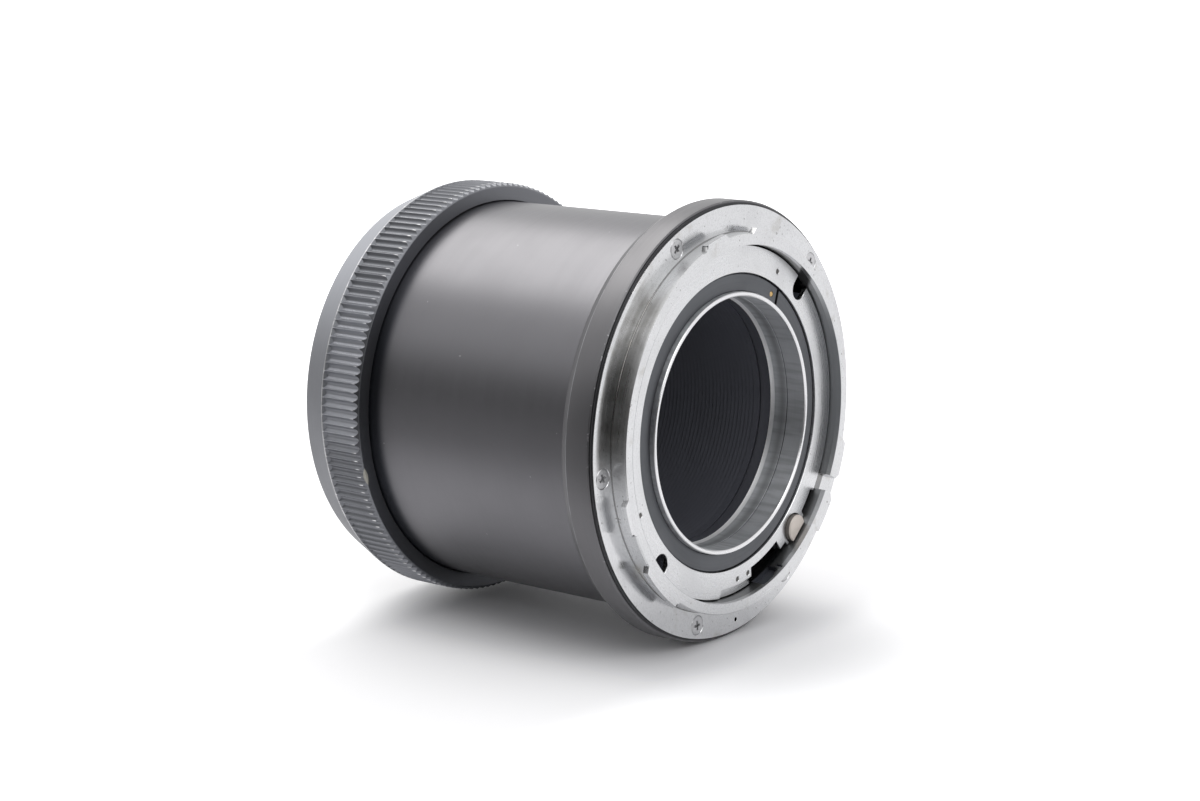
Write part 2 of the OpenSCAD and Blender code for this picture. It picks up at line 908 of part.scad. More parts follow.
// Rod that carries the camera's push to the stud.
module release_rod() {
    color("#a5a6a9")
        along_axis()
            at_polar(stud_angle, rod_pitch_r, tip_front)
                cylinder(r = rod_r, h = stud_back + rod_socket - tip_front);
}

// Clip on the rod that the spring pushes on.
module spring_clip() {
    color("#8b8c90")
        along_axis()
            at_polar(stud_angle, rod_pitch_r)
                ring(clip_r, rod_r + slip, [clip_top - clip_t, clip_top]);
}

// Rounded rear end of the rod.
module release_tip() {
    color("#c3c4c7")
        along_axis()
            at_polar(stud_angle, rod_pitch_r)
                turned([
                    [0, tip_back], [tip_r - tip_edge, tip_back], [tip_r, tip_back + tip_edge],
                    [tip_r, tip_front], [0, tip_front]
                ]);
}

barrel();
front_flange();
mount_shim();
bayonet_mount();
mount_screws();
front_sleeve();
baffle_ring();
light_tunnel();
cover_ring();
cover_pin();
rear_mount_plate();
rear_plate_screws();
lock_ring();
claw_ring();
ring_retainer();
ring_stop_screw();
index_mark();
cocking_plate();
plate_rivets();
rotor_drum();
front_bush();
rear_bush();
drive_ring();
cocking_pins();
release_guide();
release_spring();
release_stud();
release_rod();
spring_clip();
release_tip();
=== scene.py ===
"""Extension tube for a medium format camera, lying on its side.

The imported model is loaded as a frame, and every piece is built where the frame
has it. X runs along the optical axis towards the lens, Z is up, and the origin
is on the axis at the rear seating face. Angles are counted from +Y towards +Z.
Sizes in this file are in millimetres and degrees, and meshes are in metres.
"""

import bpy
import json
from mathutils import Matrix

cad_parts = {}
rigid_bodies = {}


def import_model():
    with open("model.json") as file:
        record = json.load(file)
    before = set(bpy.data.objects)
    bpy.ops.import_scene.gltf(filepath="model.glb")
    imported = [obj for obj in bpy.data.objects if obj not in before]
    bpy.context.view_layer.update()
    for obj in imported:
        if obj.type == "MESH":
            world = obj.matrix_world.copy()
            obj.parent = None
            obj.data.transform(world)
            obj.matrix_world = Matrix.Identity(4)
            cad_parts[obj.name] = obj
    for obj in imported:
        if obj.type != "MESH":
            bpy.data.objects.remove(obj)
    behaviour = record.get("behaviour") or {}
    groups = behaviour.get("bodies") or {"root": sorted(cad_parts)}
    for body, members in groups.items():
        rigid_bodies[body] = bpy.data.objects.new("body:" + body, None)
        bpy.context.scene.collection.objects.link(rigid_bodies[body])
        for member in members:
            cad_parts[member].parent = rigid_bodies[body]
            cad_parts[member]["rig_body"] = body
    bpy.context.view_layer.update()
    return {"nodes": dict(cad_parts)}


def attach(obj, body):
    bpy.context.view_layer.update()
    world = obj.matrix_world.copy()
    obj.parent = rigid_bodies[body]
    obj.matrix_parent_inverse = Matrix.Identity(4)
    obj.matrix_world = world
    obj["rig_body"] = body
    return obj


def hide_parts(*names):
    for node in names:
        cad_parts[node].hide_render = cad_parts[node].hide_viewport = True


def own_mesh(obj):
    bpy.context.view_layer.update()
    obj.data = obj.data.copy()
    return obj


bl_info = {
    "name": "Extension Tube",
    "version": (1, 0, 0),
    "blender": (4, 5, 0),
    "location": "View3D > Sidebar > Extension Tube",
    "description": "Builds an extension tube with two bayonet mounts, piece by piece",
    "category": "Add Mesh",
}

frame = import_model()

import json
import math

import bmesh
import bpy
from bpy.props import FloatProperty, FloatVectorProperty, IntProperty, PointerProperty
from bpy.types import Operator, Panel, PropertyGroup
from mathutils import Matrix, Vector

MM = 0.001
WHITE = (1.0, 1.0, 1.0, 1.0)

# The photograph's camera: place in metres, directions to its right and up
CAMERA_PLACE = (0.3810, -0.4301, 0.1089)
CAMERA_RIGHT = (0.78698, 0.61697, 0.0)
CAMERA_UP = (-0.11989, 0.15293, 0.98094)
CAMERA_LENS = 76.08
CAMERA_SENSOR = 36.0

# Clearances, as in the part's source
SLIP = 0.02
RUNNING_GAP = 0.05

# Radii, from the light path outwards
THROAT = 27.1
SLEEVE = 28.0
TUNNEL = 29.2
COVER = 31.6
PLATE_INNER = 32.0
PLATE = 37.8
SPIGOT = 37.9
BARREL_LIP = 38.0
COLLAR_BORE = 38.1
FLANGE_BORE = 38.4
POCKET_FLOOR = 39.2
COLLAR_RIM = 40.3
BARREL_INNER = 40.3
COLLAR = 40.5
SEAT = 40.6
CLAW = 40.7
SEAT_PLATE = 41.4
LUG = 41.6
CLAW_RING = 41.8
BARREL = 42.3
RING_BORE = 42.6
RING_BACK_R = 43.3
SHOULDER = 43.4
RING_CHAMBER = 43.7
POCKET = 45.2
BASE_RING = 46.2
RING_CREST = 46.4
SHIM = 46.65
FLANGE = 47.1

# Levels along the axis
SPIGOT_BACK = -2.4
TUNNEL_BACK = -2.0
SEAT_STEP = 0.4
BARREL_BACK = 2.3
SHOULDER_BACK = 2.6
BARREL_LIP_FRONT = 6.3
SHOULDER_FRONT = 7.0
FLANGE_SPIGOT = 66.3
BAFFLE_BACK = 67.6
FLANGE_BACK = 70.3
SPRING_SEAT = 70.6
SLEEVE_BACK = 70.8
SLEEVE_GROOVE = 75.0
STUD_BACK = 75.0
BASE_BACK = 76.3
FLANGE_FRONT = 77.6
BASE_LIP = 77.9
PLATE_BACK = 78.0
BASE_FACE = 78.3
COVER_FACE = 78.7
SLOT_FLOOR = 79.0
PLATE_FACE = 79.2
SLEEVE_RIM = 79.8
POCKET_STEP = 80.3
STUD_FACE = 80.3
LUG_BACK = 80.75
POCKET_TOP = 81.4
FRONT_SEAT = 82.0

# Lock ring, along the axis
RING_BACK = -3.6
CLAW_FRONT = -1.45
CLAW_RING_FRONT = 1.9
CHAMBER_BACK = 2.1
KNURL_BACK = 4.1
RING_FRONT = 14.3
RING_CHAMFER = 0.9
RING_LIP = 0.04
RETAINER_SINK = 0.05

# Bevels and other small lengths
SLEEVE_BEVEL = 0.9
SLEEVE_LIP = 0.35
ROOT_FILLET = 0.12
RIM_CHAMFER = 0.3
FLANGE_CHAMFER = 1.7
SLOT_HALF = 1.8
NOTCH_RADIUS = 2.3
STUD_RECESS = 3.25
RIVET_RADIUS = 0.5
SPRING_LENGTH = 9.6

# Screws: the head's straight rim, then radius and length of the shafts
HEAD_RIM = 0.2
MOUNT_SHAFT = (1.0, 5.0)
REAR_SHAFT = (0.65, 5.5)

# Places round the axis, in degrees
LUGS = [
    (-45.4, -31.2), (-26.8, -13.4),
    (75.1, 85.6), (97.6, 109.6),
    (192.6, 204.6), (216.1, 237.1),
]
LUG_TIPS = [
    (-43.9, -33.1), (-24.9, -14.9),
    (76.6, 84.1), (99.1, 108.1),
    (194.1, 203.1), (217.6, 235.6),
]
COLLAR_SLOT = -29.0
COLLAR_POCKET = (-75.3, -68.4)
POCKET_END = -65.2
POCKET_SLIT = (-64.6, -63.6)
MOUNT_HOLE = -85.4
MOUNT_SCREWS = (45.6, 115.6, 185.8, 255.8, 300.6, 353.1)
REAR_SCREWS = (15, 75, 135, 195, 255, 315)
NOTCHES = (46.1, 226.1)
RIVETS = (-85.4, -78.9, 61.6, 203.6)
STUD_ANGLE = -48.7
CLAWS = (14.0, 134.0, 254.0)
CLAW_SPAN = 36.0
STOP_SCREW = 20.0
MARK_ANGLE = 196.4
COVER_PIN = 59.9
COCKING_TURN = 50.0
LOCK_TURN = 45.0

# Steps in the plate's edge: first and last angle, depth
PLATE_STEPS = (
    (-95.4, -76.9, 1.8), (-76.9, -58.9, 3.8),
    (-58.9, -54.9, 1.2), (-41.9, -32.9, 1.3),
)

# Corners of the cover ring's slit: angle, radius
COVER_SLIT = ((57.5, 32.0), (55.9, 32.0), (53.4, 27.9), (55.2, 27.9))

# Radii at which small things stand
MOUNT_SCREW_PITCH = 43.3
MOUNT_HOLE_PITCH = 44.0
REAR_SCREW_PITCH = 39.25
PIN_PITCH = 35.4
NOTCH_PITCH = 35.7
RIVET_PITCH = 34.7
STUD_PITCH = 36.45
COVER_PIN_PITCH = 29.8


# ---------------------------------------------------------------- sizes

class TubeSizes(PropertyGroup):
    """How finely the turned pieces are made, and how far their edges are eased."""
    steps: IntProperty(
        name="Steps", description="Faces round a turned piece",
        default=288, min=64, max=720)
    edge: FloatProperty(
        name="Eased edge", description="Flat that breaks a turned edge, in millimetres",
        default=0.14, min=0.0, max=0.25)
    fine_edge: FloatProperty(
        name="Fine edge", description="Flat that breaks a milled edge, in millimetres",
        default=0.1, min=0.0, max=0.2)


class KnurlSizes(PropertyGroup):
    """Knurls of the lock ring."""
    count: IntProperty(
        name="Knurls", description="Knurls round the lock ring",
        default=154, min=60, max=240)
    depth: FloatProperty(
        name="Depth", description="Depth of a knurl, in millimetres",
        default=0.7, min=0.3, max=1.1)
    land: FloatProperty(
        name="Land", description="Share of a knurl's width that its flat top takes",
        default=0.06, min=0.0, max=0.2)


class ScrewSizes(PropertyGroup):
    """Countersunk screws of the two mounts."""
    mount_head: FloatProperty(
        name="Front head", description="Radius of a front mount screw's head, in millimetres",
        default=2.1, min=1.0, max=2.5)
    rear_head: FloatProperty(
        name="Rear head", description="Radius of a rear plate screw's head, in millimetres",
        default=1.1, min=0.7, max=1.3)
    turn: FloatProperty(
        name="Turn", description="Turn of the front screws' crosses",
        default=math.radians(20), subtype="ANGLE", unit="ROTATION")


class FinishColours(PropertyGroup):
    """Base colours of the finishes."""
    barrel: FloatVectorProperty(
        name="Barrel", description="Dark anodising of the barrel",
        subtype="COLOR", size=3, min=0.0, max=1.0, default=(0.19, 0.188, 0.2))
    flange: FloatVectorProperty(
        name="Flange", description="Black anodising of the front flange",
        subtype="COLOR", size=3, min=0.0, max=1.0, default=(0.168, 0.166, 0.174))
    ring: FloatVectorProperty(
        name="Lock ring", description="Black anodising of the lock ring",
        subtype="COLOR", size=3, min=0.0, max=1.0, default=(0.2, 0.205, 0.222))
    chrome: FloatVectorProperty(
        name="Chrome", description="Chrome of the two mounts",
        subtype="COLOR", size=3, min=0.0, max=1.0, default=(0.73, 0.735, 0.745))
    sleeve: FloatVectorProperty(
        name="Sleeve", description="Bright front sleeve",
        subtype="COLOR", size=3, min=0.0, max=1.0, default=(0.56, 0.575, 0.6))
    ivory: FloatVectorProperty(
        name="Stud", description="Pale plastic of the release stud",
        subtype="COLOR", size=3, min=0.0, max=1.0, default=(0.66, 0.6, 0.55))
    mark: FloatVectorProperty(
        name="Mark", description="Worn paint of the index mark",
        subtype="COLOR", size=3, min=0.0, max=1.0, default=(0.36, 0.35, 0.31))


class StageSettings(PropertyGroup):
    """Light and backdrop."""
    key_power: FloatProperty(
        name="Key light", description="Power of the large lamp above, in watts",
        default=4.8, min=0.0, unit="POWER")
    fill_power: FloatProperty(
        name="Fill light", description="Power of the lamp in front of the mount, in watts",
        default=2.5, min=0.0, unit="POWER")
    ambient: FloatProperty(
        name="Ambient", description="Strength of the light from all round",
        default=0.7, min=0.0, max=2.0)
    dark: FloatProperty(
        name="Dark side", description="How far the room's dark side is below white in metal",
        default=0.94, min=0.0, max=1.0)


# ---------------------------------------------------------------- mesh tools

def round_point(angle, x, radius):
    """A point in the frame from its angle, its level on the axis and its radius."""
    turn = math.radians(angle)
    return (x * MM, radius * math.cos(turn) * MM, radius * math.sin(turn) * MM)


def local_point(angle, pitch, outwards, sideways, x):
    """A point given from a spot at an angle and a radius, outwards and sideways."""
    turn = math.radians(angle)
    y = (pitch + outwards) * math.cos(turn) - sideways * math.sin(turn)
    z = (pitch + outwards) * math.sin(turn) + sideways * math.cos(turn)
    return (x * MM, y * MM, z * MM)


def spread(first, last, steps):
    """Evenly spaced values from the first to the last."""
    return [first + (last - first) * i / steps for i in range(steps + 1)]


def arc(angle, pitch, radius, level, turns):
    """Points on a circle that faces along the axis, round a spot off the axis."""
    return [
        local_point(angle, pitch, radius * math.cos(t), radius * math.sin(t), level)
        for t in turns
    ]


def circle(angle, pitch, radius, level, steps):
    """Points all the way round such a circle."""
    return arc(angle, pitch, radius, level, spread(0.0, 2 * math.pi, steps)[:-1])


def flat_points(points):
    """Points in metres as an outline in (y, z)."""
    return [(y / MM, z / MM) for _, y, z in points]


def finished(mesh, sharp=30.0):
    """Closes seams, turns the faces outwards and smooths all but the sharp edges."""
    bm = bmesh.new()
    bm.from_mesh(mesh)
    bmesh.ops.remove_doubles(bm, verts=bm.verts, dist=1e-7)
    bmesh.ops.dissolve_degenerate(bm, edges=bm.edges, dist=1e-7)
    bmesh.ops.recalc_face_normals(bm, faces=bm.faces)
    bm.to_mesh(mesh)
    bm.free()
    mesh.shade_smooth()
    mesh.set_sharp_from_angle(angle=math.radians(sharp))
    return mesh


def add_object(name, mesh):
    """Links a mesh to the scene as an object of the same name."""
    mesh.name = name
    piece = bpy.data.objects.new(name, mesh)
    bpy.context.scene.collection.objects.link(piece)
    return piece


def add_mesh(name, points, faces):
    """A finished object from points in metres and faces."""
    mesh = bpy.data.meshes.new(name)
    mesh.from_pydata(points, [], faces)
    return add_object(name, finished(mesh))


def skin(sections, closed=False):
    """Points and faces of a skin over sections of as many points each."""
    size = len(sections[0])
    points = [p for section in sections for p in section]
    faces = []
    for i in range(len(sections) if closed else len(sections) - 1):
        here, there = i * size, (i + 1) % len(sections) * size
        for j in range(size):
            k = (j + 1) % size
            faces.append((here + j, here + k, there + k, there + j))
    return points, faces


def swept(name, rows):
    """A ring through rows of (angle, x, radius) points, each a closed section."""
    sections = [[round_point(*p) for p in row] for row in rows]
    return add_mesh(name, *skin(sections, closed=True))


def turned(name, profile, steps):
    """A turned piece from a closed profile of (x, radius) points."""
    rows = [[(360 * i / steps, x, r) for x, r in profile] for i in range(steps)]
    return swept(name, rows)


def eased(profile, size):
    """Cuts the corners of a closed profile. A third number is a corner's own cut."""
    result = []
    for i, corner in enumerate(profile):
        x, r = corner[:2]
        cut = corner[2] if len(corner) > 2 else size
        if not cut:
            result.append((x, r))
            continue
        for near in (profile[i - 1], profile[(i + 1) % len(profile)]):
            run = math.hypot(near[0] - x, near[1] - r)
            share = min(cut / run, 0.45) if run else 0.0
            result.append((x + (near[0] - x) * share, r + (near[1] - r) * share))
    return result


def lofted(name, outlines):
    """A closed solid through outlines of as many points each, with flat ends."""
    points, sides = skin(outlines)
    size = len(outlines[0])
    ends = [tuple(range(size)), tuple(range(len(points) - size, len(points)))]
    return add_mesh(name, points, ends + sides)


def stations(count, special, clear=0.45):
    """Evenly spaced angles, without those that come too near a special one."""
    even = [360 * i / count - 180 for i in range(count)]
    return [
        a for a in even
        if all(abs((a - s + 180) % 360 - 180) > clear for s in special)
    ]


def settled(piece):
    """Turns a piece's modifiers into its plain mesh."""
    depsgraph = bpy.context.evaluated_depsgraph_get()
    old = piece.data
    mesh = bpy.data.meshes.new_from_object(piece.evaluated_get(depsgraph))
    piece.modifiers.clear()
    piece.data = mesh
    mesh.name = piece.name
    bpy.data.meshes.remove(old)


def drop(piece):
    """Deletes a helper object and its data."""
    data = piece.data
    bpy.data.objects.remove(piece)
    if isinstance(data, bpy.types.Mesh):
        bpy.data.meshes.remove(data)
    else:
        bpy.data.curves.remove(data)


def cut_away(piece, cutters):
    """Takes the cutters out of the piece, and deletes them."""
    for cutter in cutters:
        modifier = piece.modifiers.new("cut", "BOOLEAN")
        modifier.operation = "DIFFERENCE"
        modifier.solver = "EXACT"
        modifier.object = cutter
    bpy.context.view_layer.update()
    settled(piece)
    for cutter in cutters:
        drop(cutter)
    finished(piece.data)
    return piece


def break_edges(piece, size):
    """Puts a small flat on every sharp edge of a piece."""
    bm = bmesh.new()
    bm.from_mesh(piece.data)
    limit = math.radians(30.0)
    edges = [e for e in bm.edges if len(e.link_faces) == 2 and e.calc_face_angle(0) > limit]
    bmesh.ops.bevel(
        bm, geom=edges, offset=size * MM, offset_type="OFFSET", segments=1,
        affect="EDGES", clamp_overlap=True)
    bm.to_mesh(piece.data)
    bm.free()
    finished(piece.data)
    return piece


def smooth_copy(node, name):
    """A merged copy of a frame node's mesh, shaded smooth between its edges."""
    mesh = frame["nodes"][node].data.copy()
    mesh.materials.clear()
    return add_object(name, finished(mesh, 25.0))


def sheet_metal(name, splines, back, front, edge):
    """A flat piece with broken edges, cut along closed outlines of (y, z) points."""
    curve = bpy.data.curves.new(name, "CURVE")
    curve.dimensions = "2D"
    curve.fill_mode = "BOTH"
    curve.extrude = ((front - back) / 2 - edge) * MM
    curve.bevel_depth = edge * MM
    curve.bevel_resolution = 0
    curve.offset = -edge * MM
    for outline in splines:
        spline = curve.splines.new("POLY")
        spline.points.add(len(outline) - 1)
        for point, (y, z) in zip(spline.points, outline):
            point.co = (y * MM, z * MM, 0.0, 1.0)
        spline.use_cyclic_u = True
    helper = bpy.data.objects.new(name + "_outline", curve)
    bpy.context.scene.collection.objects.link(helper)
    bpy.context.view_layer.update()
    depsgraph = bpy.context.evaluated_depsgraph_get()
    mesh = bpy.data.meshes.new_from_object(helper.evaluated_get(depsgraph))
    drop(helper)
    middle = (front + back) / 2 * MM
    mesh.transform(Matrix(((0, 0, 1, middle), (1, 0, 0, 0), (0, 1, 0, 0), (0, 0, 0, 1))))
    mesh.materials.clear()
    return add_object(name, finished(mesh))


def dressed(piece, finish, body, *nodes, slot=None):
    """Gives a piece its finish and its body, and hides the frame nodes it stands for."""
    slot = slot or finish
    piece.data.materials.clear()
    piece.data.materials.append(finish_for(finish))
    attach(piece, body)
    if nodes:
        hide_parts(*nodes)


# ---------------------------------------------------------------- node trees

def add_socket(tree, name, kind, default=None):
    """A named input of a geometry tree."""
    socket = tree.interface.new_socket(name=name, in_out="INPUT", socket_type=kind)
    if default is not None:
        socket.default_value = default
    return socket.identifier


def new_tree(name):
    """An empty geometry tree with its input and output."""
    tree = bpy.data.node_groups.new(name, "GeometryNodeTree")
    tree.interface.new_socket(name="Geometry", in_out="INPUT", socket_type="NodeSocketGeometry")
    tree.interface.new_socket(name="Geometry", in_out="OUTPUT", socket_type="NodeSocketGeometry")
    return tree, tree.nodes.new("NodeGroupInput"), tree.nodes.new("NodeGroupOutput")


def feed(tree, value, socket):
    """Links a socket to an input, or sets the input to a number."""
    if isinstance(value, bpy.types.NodeSocket):
        tree.links.new(value, socket)
    else:
        socket.default_value = value


def node_maths(tree, operation, *values):
    """The result of a maths node whose inputs are sockets or numbers."""
    node = tree.nodes.new("ShaderNodeMath")
    node.operation = operation
    for socket, value in zip(node.inputs, values):
        feed(tree, value, socket)
    return node.outputs[0]


def product(tree, *values):
    """The product of sockets or numbers."""
    result = values[0]
    for value in values[1:]:
        result = node_maths(tree, "MULTIPLY", result, value)
    return result


def smooth_map(tree, value, low, high, to_low=0.0, to_high=1.0):
    """A smooth, clamped map of a value from one range to another."""
    node = tree.nodes.new("ShaderNodeMapRange")
    node.interpolation_type = "SMOOTHSTEP"
    for socket, number in zip(node.inputs, (value, low, high, to_low, to_high)):
        feed(tree, number, socket)
    return node.outputs[0]


def repeat_tree():
    """Places one object at angles on a circle: screws, rivets and the like."""
    tree, start, end = new_tree("repeat_at_angles")
    keys = {
        "piece": add_socket(tree, "Piece", "NodeSocketObject"),
        "pitch": add_socket(tree, "Pitch radius", "NodeSocketFloat", 0.04),
        "level": add_socket(tree, "Level", "NodeSocketFloat", 0.0),
        "turn": add_socket(tree, "Turn", "NodeSocketFloat", 0.0),
        "material": add_socket(tree, "Material", "NodeSocketMaterial"),
    }
    links = tree.links
    angle = tree.nodes.new("GeometryNodeInputNamedAttribute")
    angle.data_type = "FLOAT"
    angle.inputs["Name"].default_value = "angle"
    turn = angle.outputs["Attribute"]
    place = tree.nodes.new("ShaderNodeCombineXYZ")
    links.new(start.outputs["Level"], place.inputs[0])
    for socket, wave in ((place.inputs[1], "COSINE"), (place.inputs[2], "SINE")):
        share = node_maths(tree, wave, turn)
        links.new(product(tree, share, start.outputs["Pitch radius"]), socket)
    move = tree.nodes.new("GeometryNodeSetPosition")
    links.new(start.outputs["Geometry"], move.inputs["Geometry"])
    links.new(place.outputs[0], move.inputs["Position"])
    info = tree.nodes.new("GeometryNodeObjectInfo")
    links.new(start.outputs["Piece"], info.inputs["Object"])
    angle = node_maths(tree, "ADD", turn, start.outputs["Turn"])
    copies = placed(tree, move.outputs[0], info.outputs["Geometry"], angle)
    finish_tree(tree, start, end, copies, merge=False)
    return tree, keys


def ring_tree():
    """Repeats a section of a ring all the way round and joins the sections."""
    tree, start, end = new_tree("repeat_round_ring")
    keys = {
        "count": add_socket(tree, "Count", "NodeSocketInt", 154),
        "material": add_socket(tree, "Material", "NodeSocketMaterial"),
    }
    points = tree.nodes.new("GeometryNodePoints")
    tree.links.new(start.outputs["Count"], points.inputs["Count"])
    index = tree.nodes.new("GeometryNodeInputIndex")
    step = node_maths(tree, "DIVIDE", 2 * math.pi, start.outputs["Count"])
    angle = product(tree, index.outputs[0], step)
    copies = placed(tree, points.outputs[0], start.outputs["Geometry"], angle)
    finish_tree(tree, start, end, copies, merge=True)
    return tree, keys


def placed(tree, points, piece, angle):
    """Instances of a piece on points, each turned about X by an angle."""
    euler = tree.nodes.new("ShaderNodeCombineXYZ")
    tree.links.new(angle, euler.inputs[0])
    rotation = tree.nodes.new("FunctionNodeEulerToRotation")
    tree.links.new(euler.outputs[0], rotation.inputs[0])
    copies = tree.nodes.new("GeometryNodeInstanceOnPoints")
    tree.links.new(points, copies.inputs["Points"])
    tree.links.new(piece, copies.inputs["Instance"])
    tree.links.new(rotation.outputs[0], copies.inputs["Rotation"])
    return copies.outputs[0]


def finish_tree(tree, start, end, geometry, merge):
    """Ends a tree: instances made real, joined where asked, and given a material."""
    real = tree.nodes.new("GeometryNodeRealizeInstances")
    tree.links.new(geometry, real.inputs[0])
    geometry = real.outputs[0]
    if merge:
        join = tree.nodes.new("GeometryNodeMergeByDistance")
        join.inputs["Distance"].default_value = 2e-6
        tree.links.new(geometry, join.inputs["Geometry"])
        geometry = join.outputs[0]
    paint = tree.nodes.new("GeometryNodeSetMaterial")
    tree.links.new(geometry, paint.inputs["Geometry"])
    tree.links.new(start.outputs["Material"], paint.inputs["Material"])
    tree.links.new(paint.outputs[0], end.inputs[0])


def run_tree(piece, tree, keys, values):
    """Runs a geometry tree on a piece and keeps the result as a plain mesh."""
    modifier = piece.modifiers.new("repeat", "NODES")
    modifier.node_group = tree
    for key, value in values.items():
        modifier[keys[key]] = value
    bpy.context.view_layer.update()
    settled(piece)


def repeated(name, unit, angles, pitch, level, turn, finish):
    """A piece that repeats a unit at several angles."""
    mesh = bpy.data.meshes.new(name)
    mesh.from_pydata([(0, 0, 0)] * len(angles), [], [])
    attribute = mesh.attributes.new("angle", "FLOAT", "POINT")
    attribute.data.foreach_set("value", [math.radians(a) for a in angles])
    piece = add_object(name, mesh)
    tree, keys = repeat_tree()
    run_tree(piece, tree, keys, {
        "piece": unit, "pitch": pitch * MM, "level": level * MM,
        "turn": turn, "material": finish_for(finish),
    })
    drop(unit)
    bpy.data.node_groups.remove(tree)
    return piece


# ---------------------------------------------------------------- finishes

class Finish:
    """Builds the nodes of one material. Inputs take sockets or numbers."""

    def __init__(self, name, colour, metallic, roughness):
        """A plain material, with the place, x, radius and direction in it as sockets."""
        self.material = bpy.data.materials.new(name)
        self.material.use_nodes = True
        self.tree = self.material.node_tree
        self.shader = self.tree.nodes["Principled BSDF"]
        self.shader.inputs["Metallic"].default_value = metallic
        self.colour = tuple(colour)
        self.rough = roughness
        self.paint = (*colour, 1.0)
        self.height = None
        source = self.node("ShaderNodeTexCoord").outputs["Object"]
        scale = self.node("ShaderNodeVectorMath", operation="SCALE")
        scale.inputs["Scale"].default_value = 1 / MM
        self.join(source, scale.inputs[0])
        self.place = scale.outputs[0]
        split = self.node("ShaderNodeSeparateXYZ")
        self.join(self.place, split.inputs[0])
        self.x = split.outputs[0]
        across = self.node("ShaderNodeCombineXYZ")
        self.join(split.outputs[1], across.inputs[1])
        self.join(split.outputs[2], across.inputs[2])
        length = self.node("ShaderNodeVectorMath", operation="LENGTH")
        self.join(across.outputs[0], length.inputs[0])
        self.r = length.outputs["Value"]
        self.cos = self.maths("DIVIDE", split.outputs[1], self.r)
        self.sin = self.maths("DIVIDE", split.outputs[2], self.r)

    def node(self, kind, **settings):
        """A new node with its settings."""
        node = self.tree.nodes.new(kind)
        for key, value in settings.items():
            setattr(node, key, value)
        return node

    def join(self, value, socket):
        """Links a socket to an input, or sets the input to a number."""
        feed(self.tree, value, socket)

    def maths(self, operation, *values):
        """The result of a maths node."""
        return node_maths(self.tree, operation, *values)

    def times(self, *values):
        """The product of some values."""
        return product(self.tree, *values)

    def base(self, factor):
        """The base colour times a factor."""
        return tuple(c * factor for c in self.colour)

    def ramp(self, value, *ends):
        """Maps a value from one range to another, smoothly and clamped."""
        return smooth_map(self.tree, value, *ends)

    def band(self, value, middle, half):
        """1 on a level of a value, fading to 0 at half to either side."""
        distance = self.maths("ABSOLUTE", self.maths("SUBTRACT", value, middle))
        return self.ramp(distance, 0.0, half, 1.0, 0.0)

    def sector(self, start, stop, fade):
        """1 between two angles, fading to 0 over an angle outside them."""
        middle, half = math.radians((start + stop) / 2), (stop - start) / 2
        along = self.times(self.cos, math.cos(middle))
        along = self.maths("MULTIPLY_ADD", self.sin, math.sin(middle), along)
        return self.ramp(
            along, math.cos(math.radians(half + fade)), math.cos(math.radians(half)))

    def noise(self, scale, detail, stretch=(1, 1, 1)):
        """Noise in place, per millimetre."""
        mapping = self.node("ShaderNodeMapping")
        mapping.inputs["Scale"].default_value = stretch
        self.join(self.place, mapping.inputs["Vector"])
        node = self.node("ShaderNodeTexNoise", noise_dimensions="3D")
        self.join(mapping.outputs[0], node.inputs["Vector"])
        node.inputs["Scale"].default_value = scale
        node.inputs["Detail"].default_value = detail
        return node.outputs[0]

    def lines(self, per_mm, wander):
        """Fine marks that run round the axis, as turning leaves them."""
        vector = self.node("ShaderNodeCombineXYZ")
        for socket, pair in zip(
                vector.inputs, ((self.x, per_mm), (self.r, per_mm), (self.cos, wander))):
            self.join(self.times(*pair), socket)
        node = self.node("ShaderNodeTexNoise", noise_dimensions="4D")
        self.join(vector.outputs[0], node.inputs["Vector"])
        self.join(self.times(self.sin, wander), node.inputs["W"])
        node.inputs["Scale"].default_value = 1.0
        node.inputs["Detail"].default_value = 3.0
        return node.outputs[0]

    def tint(self, share, colour):
        """Mixes a colour into the paint by a share."""
        mix = self.node("ShaderNodeMix", data_type="RGBA")
        self.join(share, mix.inputs["Factor"])
        self.join(self.paint, mix.inputs[6])
        self.join((*colour, 1.0), mix.inputs[7])
        self.paint = mix.outputs[2]

    def roughen(self, share, amount):
        """Adds to the roughness by a share of an amount."""
        self.rough = self.maths("MULTIPLY_ADD", share, amount, self.rough)

    def raise_by(self, share, microns):
        """Adds a relief, in thousandths of a millimetre."""
        part = self.times(share, microns)
        self.height = part if self.height is None else self.maths("ADD", self.height, part)

    def brush_across(self, amount):
        """Stretches the shine along the axis, across marks that run round it."""
        tangent = self.node("ShaderNodeCombineXYZ")
        tangent.inputs[0].default_value = 1.0
        self.shader.inputs["Anisotropic"].default_value = amount
        self.join(tangent.outputs[0], self.shader.inputs["Tangent"])

    def done(self):
        """The material, with its colour, roughness and relief set on its shader."""
        self.join(self.paint, self.shader.inputs["Base Color"])
        self.join(self.rough, self.shader.inputs["Roughness"])
        if self.height is not None:
            bump = self.node("ShaderNodeBump")
            bump.inputs["Strength"].default_value = 1.0
            bump.inputs["Distance"].default_value = MM * MM
            self.join(self.height, bump.inputs["Height"])
            self.join(bump.outputs[0], self.shader.inputs["Normal"])
        return self.material


def turned_finish(finish, line_pitch, rough_swing, relief, patchy=0.6):
    """Turning lines, patchy roughness and a trace of colour change."""
    lines = finish.lines(1 / line_pitch, 2.0)
    patches = finish.noise(0.09, 3.0)
    finish.roughen(finish.ramp(lines, 0.3, 0.7), rough_swing)
    finish.roughen(finish.ramp(patches, 0.35, 0.7), rough_swing * patchy)
    finish.raise_by(lines, relief)
    finish.tint(finish.ramp(patches, 0.4, 0.75, 0.0, patchy), finish.base(0.86))


